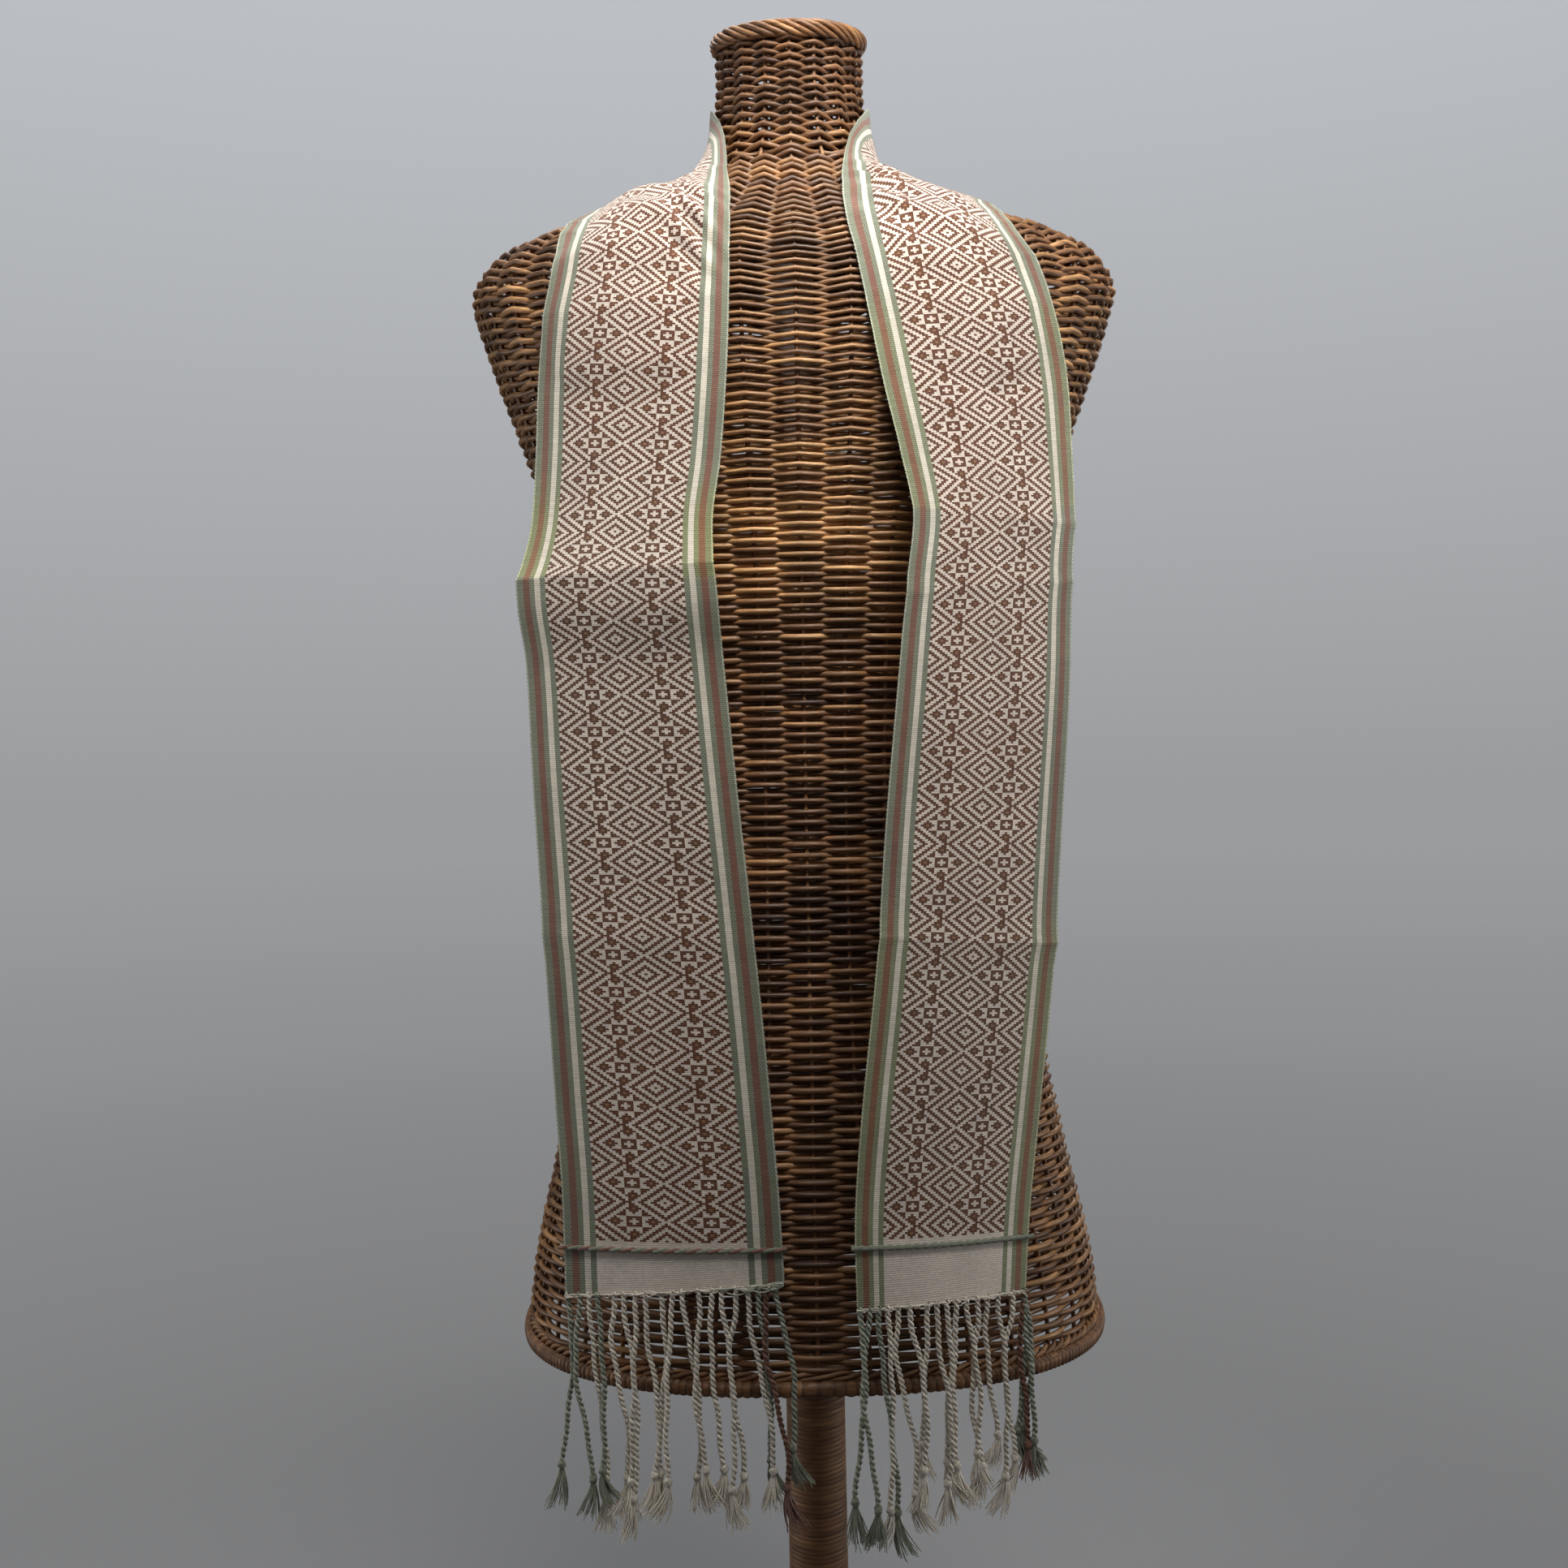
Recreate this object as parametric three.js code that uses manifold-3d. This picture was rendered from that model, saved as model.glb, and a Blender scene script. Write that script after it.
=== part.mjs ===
// A narrow handwoven scarf with knotted fringes, draped round the neck of a wicker display torso.
// The torso stands on a wrapped pole and a turned wooden foot.
// Millimetres, +Z up. The front of the torso faces -Y. The origin is the middle of the foot's underside.

import * as THREE from 'three';
import Module from 'manifold-3d';
import { mergeVertices } from 'three/addons/utils/BufferGeometryUtils.js';

// Driving dimensions
const FOOT_RADIUS = 165;
const FOOT_HEIGHT = 20;
const FOOT_SIDES = 64;
const POLE_RADIUS = 16.3;
const POLE_SIDES = 24;
const RIM_BOTTOM = 300;
const RIM_HEIGHT = 11;
const RIM_PROUD = 3;
const RIM_INWARD = 7;
const NECK_TOP = 999;
const BORDER_HEIGHT = 6.5;
const BORDER_PROUD = 2.6;
const BORDER_INWARD = 6;
const CAP_RISE = 4;
const UNDERSIDE_STEP = 0.6;
const NECK_TILT = 0.2;
const NECK_TILT_FROM = 955;
const SEAT_GAP = 0.3;
const TORSO_SIDES = 40;
const CLOTH_THICKNESS = 2;
const CLOTH_CLEARANCE = 2.2;
const CLOTH_COLUMNS = 10;
const CLOTH_ROWS = 88;
const HANGING_CROWN = 4;
const TWINED_FROM_END = 24;
const TWINED_WIDTH = 2.4;
const TWINED_HEIGHT = 1.2;
const STRIP_HEIGHT = 2.6;
const STRIP_THICKNESS = 2;
const CORD_RADIUS = 1.15;
const KNOT_RADIUS = 2.3;
const TASSEL_RADIUS = 3.6;
const CORD_SWAY = 1.2;

// Torso sections: height, half width, depth in front of the axis, depth behind it, squareness
const TORSO_SECTIONS = [
  { z: 300, half: 154, front: 127, back: 113.5, power: 2.45 },
  { z: 324, half: 153, front: 126, back: 113, power: 2.45 },
  { z: 351, half: 149, front: 123, back: 112, power: 2.45 },
  { z: 396, half: 138.6, front: 117, back: 107, power: 2.45 },
  { z: 436, half: 131, front: 111, back: 101, power: 2.45 },
  { z: 500, half: 122.5, front: 102, back: 92, power: 2.4 },
  { z: 560, half: 118, front: 96, back: 85, power: 2.4 },
  { z: 610, half: 117, front: 94, back: 82, power: 2.35 },
  { z: 660, half: 121, front: 97, back: 85, power: 2.3 },
  { z: 710, half: 129.5, front: 103, back: 92, power: 2.3 },
  { z: 759, half: 145, front: 109, back: 99, power: 2.3 },
  { z: 799, half: 159, front: 110, back: 102, power: 2.3 },
  { z: 829, half: 169.6, front: 106, back: 100, power: 2.3 },
  { z: 854, half: 177, front: 98, back: 95, power: 2.3 },
  { z: 866, half: 175, front: 92.5, back: 91, power: 2.3 },
  { z: 876, half: 169, front: 87, back: 86, power: 2.3 },
  { z: 885, half: 156, front: 81, back: 80, power: 2.3 },
  { z: 893, half: 132.5, front: 74, back: 74, power: 2.3 },
  { z: 898.5, half: 115, front: 69, back: 70, power: 2.3 },
  { z: 908, half: 85, front: 60, back: 62, power: 2.3 },
  { z: 914, half: 70, front: 55, back: 57, power: 2.25 },
  { z: 919, half: 58, front: 50, back: 52, power: 2.2 },
  { z: 924, half: 50, front: 47, back: 49, power: 2.15 },
  { z: 934, half: 46, front: 44, back: 45, power: 2.1 },
  { z: 948, half: 43, front: 42, back: 42.5, power: 2 },
  { z: 972, half: 41, front: 40, back: 40.5, power: 2 },
  { z: 1004, half: 41.6, front: 40.5, back: 41, power: 2 },
];

// Scarf stations from the left end over the neck to the right end. Each gives the outer selvedge,
// the inner selvedge and, on the shoulders and the nape, the fold or crown between them.
const SCARF_STATIONS = [
  { at: 'left end', outer: [-121, -114, 347], inner: [-15, -138, 358] },
  { at: 'left hip', outer: [-122, -112, 395], inner: [-17, -137, 402] },
  { at: 'left hip', outer: [-125, -108, 440], inner: [-20, -135, 444] },
  { at: 'left waist', outer: [-129, -103, 505], inner: [-25, -132, 506] },
  { at: 'left waist', outer: [-135, -94, 594], inner: [-33, -128, 592] },
  { at: 'left waist', outer: [-138, -89, 654], inner: [-38, -126, 650] },
  { at: 'left crease', outer: [-141, -90, 686], inner: [-40, -130, 680] },
  { at: 'left breast', outer: [-135, -80, 725], inner: [-42, -122, 718] },
  { at: 'left breast', outer: [-133, -76, 759], inner: [-38, -116, 748] },
  { at: 'left breast', outer: [-131, -76, 796], inner: [-35, -113, 781] },
  { at: 'left breast', outer: [-127, -79, 828], inner: [-33, -109, 815] },
  { at: 'left collarbone', outer: [-121, -79, 857], crown: [-76, -93, 862], inner: [-32, -100, 850] },
  { at: 'left collarbone', outer: [-117, -72, 876], crown: [-73, -84, 885], inner: [-32, -88, 876] },
  { at: 'left shoulder', outer: [-117, -48, 888], crown: [-74, -66, 905], inner: [-33, -72, 897] },
  { at: 'left shoulder', outer: [-117, -18, 896], crown: [-76, -36, 919], inner: [-35, -48, 920] },
  { at: 'left shoulder', outer: [-114, 12, 896], crown: [-74, -4, 922], inner: [-40, -20, 952] },
  { at: 'left nape', outer: [-103, 42, 889], crown: [-64, 28, 922], inner: [-42, 8, 966] },
  { at: 'left nape', outer: [-78, 70, 878], crown: [-49, 52, 924], inner: [-33, 30, 967] },
  { at: 'left nape', outer: [-40, 88, 867], crown: [-25, 66, 921], inner: [-17, 40, 966] },
  { at: 'nape', outer: [0, 93, 863], crown: [0, 70, 918], inner: [0, 43, 965] },
  { at: 'right nape', outer: [40, 88, 867], crown: [25, 66, 921], inner: [17, 40, 966] },
  { at: 'right nape', outer: [80, 70, 877], crown: [49, 52, 924], inner: [33, 30, 967] },
  { at: 'right nape', outer: [109, 42, 887], crown: [66, 28, 921], inner: [42, 6, 965] },
  { at: 'right shoulder', outer: [121, 12, 894], crown: [74, -4, 919], inner: [39, -22, 948] },
  { at: 'right shoulder', outer: [124, -18, 892], crown: [76, -36, 914], inner: [31, -50, 917] },
  { at: 'right shoulder', outer: [124, -46, 884], crown: [74, -66, 900], inner: [26, -74, 893] },
  { at: 'right collarbone', outer: [121, -70, 870], crown: [73, -86, 879], inner: [26, -90, 872] },
  { at: 'right collarbone', outer: [123, -79, 853], crown: [76, -96, 854], inner: [31, -102, 845] },
  { at: 'right breast', outer: [132, -77, 824], inner: [36, -110, 814] },
  { at: 'right breast', outer: [138, -71, 796], inner: [41, -114, 785] },
  { at: 'right breast', outer: [140, -69, 762], inner: [48, -119, 751] },
  { at: 'right breast', outer: [140, -71, 726], inner: [53, -125, 717] },
  { at: 'right crease', outer: [137, -75, 692], inner: [49, -131, 685] },
  { at: 'right waist', outer: [135, -79, 643], inner: [44, -135, 640] },
  { at: 'right waist', outer: [129, -84, 575], inner: [37, -139, 577] },
  { at: 'right waist', outer: [121, -91, 493], inner: [30, -144, 502] },
  { at: 'right hip', outer: [112, -99, 428], inner: [22, -148, 437] },
  { at: 'right hip', outer: [105, -107, 382], inner: [18, -149, 391] },
  { at: 'right end', outer: [101, -114, 345], inner: [18, -150, 349] },
];

// Twisted cords of the left fringe: place of the root along the end from the outer corner,
// sideways reach of the knot towards the middle of the torso, drop to the knot, length of the tassel
const LEFT_CORDS = [
  { root: 1.5, reach: -2.5, drop: 82, tassel: 22 },
  { root: 8, reach: 3.5, drop: 88, tassel: 20 },
  { root: 13, reach: 2, drop: 94, tassel: 22 },
  { root: 17.5, reach: 5, drop: 84, tassel: 18 },
  { root: 26, reach: 3, drop: 88, tassel: 20 },
  { root: 31, reach: 2.5, drop: 97, tassel: 22 },
  { root: 37, reach: 1, drop: 90, tassel: 20 },
  { root: 42, reach: 1, drop: 86, tassel: 18 },
  { root: 50, reach: 1, drop: 86, tassel: 20 },
  { root: 55.5, reach: -1, drop: 89, tassel: 20 },
  { root: 60.5, reach: 3.5, drop: 88, tassel: 18 },
  { root: 68.5, reach: 3.5, drop: 84, tassel: 20 },
  { root: 74.7, reach: 2, drop: 85, tassel: 18 },
  { root: 79.5, reach: 3, drop: 94, tassel: 21 },
  { root: 86.5, reach: 2, drop: 89, tassel: 18 },
  { root: 92, reach: 6, drop: 86, tassel: 20 },
  { root: 97, reach: 6.5, drop: 82, tassel: 20 },
  { root: 101, reach: 6.5, drop: 94, tassel: 22 },
  { root: 105, reach: 6.5, drop: 77, tassel: 20 },
];

// Twisted cords of the right fringe, with the root measured from the inner corner
const RIGHT_CORDS = [
  { root: 1.5, reach: -2, drop: 89, tassel: 22 },
  { root: 6, reach: 1, drop: 92, tassel: 20 },
  { root: 10.5, reach: 2.5, drop: 95, tassel: 22 },
  { root: 15, reach: 3.5, drop: 93, tassel: 18 },
  { root: 20, reach: 5, drop: 87, tassel: 20 },
  { root: 26, reach: 4.5, drop: 76, tassel: 20 },
  { root: 35, reach: 1.5, drop: 66, tassel: 18 },
  { root: 40, reach: 1.5, drop: 84, tassel: 20 },
  { root: 45, reach: 2.5, drop: 76, tassel: 18 },
  { root: 50.5, reach: 1.5, drop: 77, tassel: 20 },
  { root: 56, reach: 1.5, drop: 73, tassel: 18 },
  { root: 62, reach: 2, drop: 79, tassel: 20 },
  { root: 67.5, reach: 2, drop: 66, tassel: 18 },
  { root: 74, reach: 1, drop: 86, tassel: 20 },
  { root: 83, reach: -1, drop: 80, tassel: 18 },
  { root: 90, reach: -1.5, drop: 72, tassel: 20 },
  { root: 95.5, reach: -2, drop: 68, tassel: 18 },
  { root: 100.5, reach: -2, drop: 74, tassel: 18 },
  { root: 105, reach: -2, drop: 66, tassel: 18 },
];

const MATERIALS = {
  cane: new THREE.MeshStandardMaterial({ color: 0x6f3f22, roughness: 0.5, metalness: 0 }),
  wrap: new THREE.MeshStandardMaterial({ color: 0x5f3b24, roughness: 0.55, metalness: 0 }),
  wood: new THREE.MeshStandardMaterial({ color: 0x4a3020, roughness: 0.45, metalness: 0 }),
  cloth: new THREE.MeshStandardMaterial({ color: 0xb79f8c, roughness: 0.9, metalness: 0 }),
  trim: new THREE.MeshStandardMaterial({ color: 0x7a7f5f, roughness: 0.9, metalness: 0 }),
  yarn: new THREE.MeshStandardMaterial({ color: 0xcfc3b2, roughness: 0.9, metalness: 0 }),
};

// Geometry from points and triangles

function geometryOf(points, triangles) {
  const geometry = new THREE.BufferGeometry();
  geometry.setAttribute('position', new THREE.Float32BufferAttribute(points.flat(), 3));
  geometry.setIndex(triangles.flat());
  return geometry;
}

function quad(a, b, c, d) {
  return [[a, b, c], [a, c, d]];
}

// Rings of equal point counts joined into one closed skin. Each ring runs anticlockwise seen from
// the far end, and the two end rings are capped by fans.
function skinOf(rings) {
  const count = rings[0].length;
  const points = rings.flat();
  const triangles = [];
  for (let r = 0; r + 1 < rings.length; r += 1) {
    for (let i = 0; i < count; i += 1) {
      const j = (i + 1) % count;
      triangles.push(...quad(r * count + i, r * count + j, (r + 1) * count + j, (r + 1) * count + i));
    }
  }
  const ends = [0, rings.length - 1];
  for (const end of ends) {
    const ring = rings[end];
    const middle = ring.reduce((sum, p) => sum.map((v, k) => v + p[k] / count), [0, 0, 0]);
    points.push(middle);
    const hub = points.length - 1;
    for (let i = 0; i < count; i += 1) {
      const a = end * count + i;
      const b = end * count + ((i + 1) % count);
      triangles.push(end === 0 ? [hub, b, a] : [hub, a, b]);
    }
  }
  return geometryOf(points, triangles);
}

// A closed hoop: sections that follow each other round and meet themselves
function hoopOf(sections) {
  const count = sections[0].length;
  const triangles = [];
  for (let s = 0; s < sections.length; s += 1) {
    const next = (s + 1) % sections.length;
    for (let i = 0; i < count; i += 1) {
      const j = (i + 1) % count;
      triangles.push(...quad(s * count + i, next * count + i, next * count + j, s * count + j));
    }
  }
  return geometryOf(sections.flat(), triangles);
}

// Torso surface

function sectionAt(z) {
  const top = TORSO_SECTIONS.length - 1;
  let i = 0;
  while (i < top - 1 && TORSO_SECTIONS[i + 1].z < z) {
    i += 1;
  }
  const low = TORSO_SECTIONS[i];
  const high = TORSO_SECTIONS[i + 1];
  const t = THREE.MathUtils.clamp((z - low.z) / (high.z - low.z), 0, 1);
  const mix = (key) => low[key] + (high[key] - low[key]) * t;
  return { half: mix('half'), front: mix('front'), back: mix('back'), power: mix('power') };
}

function outlinePoint(section, angle, grow) {
  const c = Math.cos(angle);
  const s = Math.sin(angle);
  const depth = s < 0 ? section.front : section.back;
  const x = (section.half + grow) * Math.sign(c) * Math.abs(c) ** (2 / section.power);
  const y = (depth + grow) * Math.sign(s) * Math.abs(s) ** (2 / section.power);
  return [x, y];
}

function neckLift(y, z) {
  const share = THREE.MathUtils.clamp((z - NECK_TILT_FROM) / (NECK_TOP - NECK_TILT_FROM), 0, 1);
  return share * NECK_TILT * y;
}

function ringAt(z, grow = 0) {
  const section = sectionAt(z);
  const ring = [];
  for (let i = 0; i < TORSO_SIDES; i += 1) {
    const [x, y] = outlinePoint(section, (i / TORSO_SIDES) * 2 * Math.PI, grow);
    ring.push([x, y, z + neckLift(y, z)]);
  }
  return ring;
}

// The torso steps in at both ends, so that the rim band and the neck border fit round it
function torso() {
  const shoulder = RIM_BOTTOM + RIM_HEIGHT + SEAT_GAP;
  const levels = TORSO_SECTIONS.map((row) => row.z).filter((z) => z > shoulder + 5 && z < NECK_TOP - 5);
  const rimInset = -RIM_INWARD - SEAT_GAP;
  const capInset = -BORDER_INWARD - SEAT_GAP;
  return skinOf([
    ringAt(RIM_BOTTOM + UNDERSIDE_STEP, rimInset),
    ringAt(shoulder, rimInset),
    ringAt(shoulder),
    ...levels.map((z) => ringAt(z)),
    ringAt(NECK_TOP),
    ringAt(NECK_TOP, capInset),
    ringAt(NECK_TOP + CAP_RISE, capInset),
  ]);
}

// How far a point lies outside the torso, negative inside
function outsideBy(p) {
  const measure = ([x, y, z]) => {
    const section = sectionAt(z);
    const depth = y < 0 ? section.front : section.back;
    const n = section.power;
    return ((Math.abs(x) / section.half) ** n + (Math.abs(y) / depth) ** n) ** (1 / n) - 1;
  };
  const step = 0.5;
  const value = measure(p);
  const slope = [0, 1, 2].map((k) => {
    const ahead = [...p];
    const behind = [...p];
    ahead[k] += step;
    behind[k] -= step;
    return (measure(ahead) - measure(behind)) / (2 * step);
  });
  const steepness = Math.hypot(...slope);
  return { distance: value / steepness, direction: slope.map((v) => v / steepness) };
}

function pushedClear(p, clearance) {
  let point = [...p];
  for (let turn = 0; turn < 8; turn += 1) {
    const { distance, direction } = outsideBy(point);
    if (distance >= clearance) {
      break;
    }
    point = point.map((v, k) => v + direction[k] * (clearance - distance));
  }
  return point;
}

// Bands round the torso's two open edges

function band(z, height, proud, inward) {
  const profile = [[proud, 0.25], [proud, 0.75], [proud * 0.4, 1], [-inward * 0.7, 1],
    [-inward, 0.75], [-inward, 0.25], [-inward * 0.7, 0], [proud * 0.4, 0]];
  const sections = [];
  for (let i = 0; i < TORSO_SIDES; i += 1) {
    const angle = (i / TORSO_SIDES) * 2 * Math.PI;
    sections.push(profile.map(([grow, rise]) => {
      const [x, y] = outlinePoint(sectionAt(z), angle, grow);
      return [x, y, z + neckLift(y, z) + rise * height];
    }));
  }
  return hoopOf(sections);
}

// Stand

function pole() {
  const length = RIM_BOTTOM + UNDERSIDE_STEP - FOOT_HEIGHT - 2 * SEAT_GAP;
  const geometry = new THREE.CylinderGeometry(POLE_RADIUS, POLE_RADIUS, length, POLE_SIDES);
  geometry.rotateX(Math.PI / 2);
  geometry.translate(0, 0, FOOT_HEIGHT + SEAT_GAP + length / 2);
  return geometry;
}

function foot() {
  const profile = [[0, 0], [FOOT_RADIUS - 1.5, 0], [FOOT_RADIUS, 1.5], [FOOT_RADIUS, FOOT_HEIGHT * 0.45],
    [FOOT_RADIUS - 3, FOOT_HEIGHT * 0.65], [FOOT_RADIUS - 10, FOOT_HEIGHT * 0.78],
    [POLE_RADIUS * 2.4, FOOT_HEIGHT * 0.9], [POLE_RADIUS * 1.8, FOOT_HEIGHT], [0, FOOT_HEIGHT]];
  const geometry = new THREE.LatheGeometry(profile.map(([r, z]) => new THREE.Vector2(r, z)), FOOT_SIDES);
  geometry.rotateX(Math.PI / 2);
  return geometry;
}

// Scarf surface

function crownOf(station) {
  if (station.crown) {
    return station.crown;
  }
  const middle = station.outer.map((v, k) => (v + station.inner[k]) / 2);
  middle[1] -= HANGING_CROWN;
  return middle;
}

function scarfLines() {
  const lineOf = (pick) => {
    const points = SCARF_STATIONS.map((station) => new THREE.Vector3(...pick(station)));
    return new THREE.CatmullRomCurve3(points, false, 'centripetal');
  };
  return {
    outer: lineOf((station) => station.outer),
    crown: lineOf(crownOf),
    inner: lineOf((station) => station.inner),
  };
}

const LINES = scarfLines();

// Place on the scarf's middle surface: along is 0 to 1 from end to end, across 0 to 1 from outer to inner
function scarfPoint(along, across) {
  const outer = LINES.outer.getPoint(along);
  const crown = LINES.crown.getPoint(along);
  const inner = LINES.inner.getPoint(along);
  const weights = [(1 - across) * (1 - 2 * across), 4 * across * (1 - across), across * (2 * across - 1)];
  const point = outer.multiplyScalar(weights[0]);
  point.addScaledVector(crown, weights[1]).addScaledVector(inner, weights[2]);
  return pushedClear(point.toArray(), CLOTH_CLEARANCE);
}

// Stations are unevenly spaced, so rows are set out by length along the crown line
function evenRows(rows) {
  const fine = rows * 20;
  const lengths = [0];
  let before = scarfPoint(0, 0.5);
  for (let i = 1; i <= fine; i += 1) {
    const here = scarfPoint(i / fine, 0.5);
    lengths.push(lengths[i - 1] + Math.hypot(...here.map((v, k) => v - before[k])));
    before = here;
  }
  const places = [];
  let i = 0;
  for (let row = 0; row <= rows; row += 1) {
    const wanted = (lengths[fine] * row) / rows;
    while (i < fine - 1 && lengths[i + 1] < wanted) {
      i += 1;
    }
    places.push((i + (wanted - lengths[i]) / (lengths[i + 1] - lengths[i])) / fine);
  }
  return { places, length: lengths[fine] };
}

function gridOf(places, columns) {
  return places.map((along) => {
    const row = [];
    for (let c = 0; c <= columns; c += 1) {
      row.push(scarfPoint(along, c / columns));
    }
    return row;
  });
}

// Unit normals of a grid, pointing to the patterned side
function gridNormals(grid) {
  const vector = (p) => new THREE.Vector3(...p);
  return grid.map((row, r) => row.map((_, c) => {
    const up = vector(grid[Math.min(r + 1, grid.length - 1)][c]).sub(vector(grid[Math.max(r - 1, 0)][c]));
    const side = vector(row[Math.min(c + 1, row.length - 1)]).sub(vector(row[Math.max(c - 1, 0)]));
    return side.cross(up).normalize();
  }));
}

// A closed sheet between two offsets of a grid
function sheetOf(grid, low, high) {
  const normals = gridNormals(grid);
  const rows = grid.length;
  const columns = grid[0].length;
  const layer = (offset) => grid.flatMap((row, r) => row.map((p, c) => {
    const normal = normals[r][c];
    return [p[0] + normal.x * offset, p[1] + normal.y * offset, p[2] + normal.z * offset];
  }));
  const back = rows * columns;
  const triangles = [];
  for (let r = 0; r + 1 < rows; r += 1) {
    for (let c = 0; c + 1 < columns; c += 1) {
      const a = r * columns + c;
      const faces = quad(a, a + 1, a + columns + 1, a + columns);
      triangles.push(...faces);
      triangles.push(...faces.map(([i, j, k]) => [back + k, back + j, back + i]));
    }
  }
  const edge = [];
  for (let c = 0; c < columns - 1; c += 1) {
    edge.push(c);
  }
  for (let r = 0; r < rows - 1; r += 1) {
    edge.push(r * columns + columns - 1);
  }
  for (let c = columns - 1; c > 0; c -= 1) {
    edge.push((rows - 1) * columns + c);
  }
  for (let r = rows - 1; r > 0; r -= 1) {
    edge.push(r * columns);
  }
  edge.forEach((a, i) => {
    const b = edge[(i + 1) % edge.length];
    triangles.push(...quad(a, back + a, back + b, b));
  });
  return geometryOf([...layer(high), ...layer(low)], triangles);
}

const SCARF = evenRows(CLOTH_ROWS);

function scarf() {
  return sheetOf(gridOf(SCARF.places, CLOTH_COLUMNS), -CLOTH_THICKNESS / 2, CLOTH_THICKNESS / 2);
}

// The twined row lies on the patterned face a little above each end
function twinedRow(end) {
  const width = TWINED_WIDTH / 2 / SCARF.length;
  const middle = TWINED_FROM_END / SCARF.length;
  const centre = end === 'left' ? middle : 1 - middle;
  const low = CLOTH_THICKNESS / 2 + SEAT_GAP;
  return sheetOf(gridOf([centre - width, centre, centre + width], CLOTH_COLUMNS), low, low + TWINED_HEIGHT);
}

// Fringes

// Merged points let the solids be joined
function solidOf(wasm, geometry) {
  const merged = mergeVertices(geometry, 1e-4);
  return new wasm.Manifold(new wasm.Mesh({
    numProp: 3,
    vertProperties: new Float32Array(merged.attributes.position.array),
    triVerts: new Uint32Array(merged.index.array),
  }));
}

function geometryFrom(solid) {
  const mesh = solid.getMesh();
  const geometry = new THREE.BufferGeometry();
  geometry.setAttribute('position', new THREE.BufferAttribute(new Float32Array(mesh.vertProperties), 3));
  geometry.setIndex(new THREE.BufferAttribute(new Uint32Array(mesh.triVerts), 1));
  return geometry;
}

// The end edge of the scarf as points from the outer to the inner corner, set down by a drop
function endEdge(end, drop) {
  const along = end === 'left' ? 0 : 1;
  const points = [];
  for (let c = 0; c <= CLOTH_COLUMNS; c += 1) {
    const [x, y, z] = scarfPoint(along, c / CLOTH_COLUMNS);
    points.push(new THREE.Vector3(x, y, z - drop));
  }
  return points;
}

function strip(end) {
  const edge = endEdge(end, SEAT_GAP + STRIP_HEIGHT / 2);
  const half = STRIP_THICKNESS / 2;
  const rise = STRIP_HEIGHT / 2;
  const rings = edge.map((p) => [[p.x, p.y + half, p.z - rise], [p.x, p.y + half, p.z + rise],
    [p.x, p.y - half, p.z + rise], [p.x, p.y - half, p.z - rise]]);
  return skinOf(end === 'left' ? rings : rings.map((ring) => [...ring].reverse()));
}

// One cord: four sides, a knot and a spread tassel. Its thickness follows the fall.
function cordSkin(root, cord, order) {
  const total = cord.drop + cord.tassel;
  const profile = [
    { fall: -STRIP_HEIGHT * 0.35, radius: CORD_RADIUS }, { fall: cord.drop * 0.2, radius: CORD_RADIUS },
    { fall: cord.drop * 0.4, radius: CORD_RADIUS }, { fall: cord.drop * 0.6, radius: CORD_RADIUS },
    { fall: cord.drop * 0.8, radius: CORD_RADIUS }, { fall: cord.drop - 2.6, radius: CORD_RADIUS },
    { fall: cord.drop, radius: KNOT_RADIUS }, { fall: cord.drop + 2.8, radius: CORD_RADIUS * 1.3 },
    { fall: cord.drop + cord.tassel * 0.55, radius: TASSEL_RADIUS * 0.72 },
    { fall: total, radius: TASSEL_RADIUS },
  ];
  const rings = profile.map(({ fall, radius }) => {
    const share = THREE.MathUtils.clamp(fall / cord.drop, 0, 1);
    const ease = share * share * (3 - 2 * share);
    const sway = CORD_SWAY * Math.sin(share * Math.PI * 2 + order * 2.4) * share;
    const x = root.x + cord.reach * ease + sway * 0.5;
    const y = root.y + (order % 2 ? -1 : 1) * CORD_SWAY * ease;
    const z = root.z - fall;
    return [[x + radius, y, z], [x, y - radius, z], [x - radius, y, z], [x, y + radius, z]];
  });
  return skinOf(rings);
}

function fringe(wasm, end, cords) {
  const edge = endEdge(end, SEAT_GAP + STRIP_HEIGHT * 0.5);
  const path = new THREE.CatmullRomCurve3(end === 'left' ? edge : [...edge].reverse());
  const length = path.getLength();
  let solid = solidOf(wasm, strip(end));
  cords.forEach((cord, order) => {
    const root = path.getPointAt(THREE.MathUtils.clamp(cord.root / length, 0.01, 0.99));
    solid = solid.add(solidOf(wasm, cordSkin(root, cord, order)));
  });
  return geometryFrom(solid);
}

// Assembly

function named(name, geometry, material) {
  const mesh = new THREE.Mesh(geometry, material);
  mesh.name = name;
  return mesh;
}

const wasm = await Module();
wasm.setup();

const group = new THREE.Group();
const borderBase = NECK_TOP + SEAT_GAP;
group.add(
  named('foot', foot(), MATERIALS.wood),
  named('pole', pole(), MATERIALS.wrap),
  named('torso', torso(), MATERIALS.cane),
  named('rim_band', band(RIM_BOTTOM, RIM_HEIGHT, RIM_PROUD, RIM_INWARD), MATERIALS.wrap),
  named('neck_border', band(borderBase, BORDER_HEIGHT, BORDER_PROUD, BORDER_INWARD), MATERIALS.cane),
  named('scarf', scarf(), MATERIALS.cloth),
  named('twined_row_left', twinedRow('left'), MATERIALS.trim),
  named('twined_row_right', twinedRow('right'), MATERIALS.trim),
  named('fringe_left', fringe(wasm, 'left', LEFT_CORDS), MATERIALS.yarn),
  named('fringe_right', fringe(wasm, 'right', RIGHT_CORDS), MATERIALS.yarn),
);

export default group;
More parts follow.
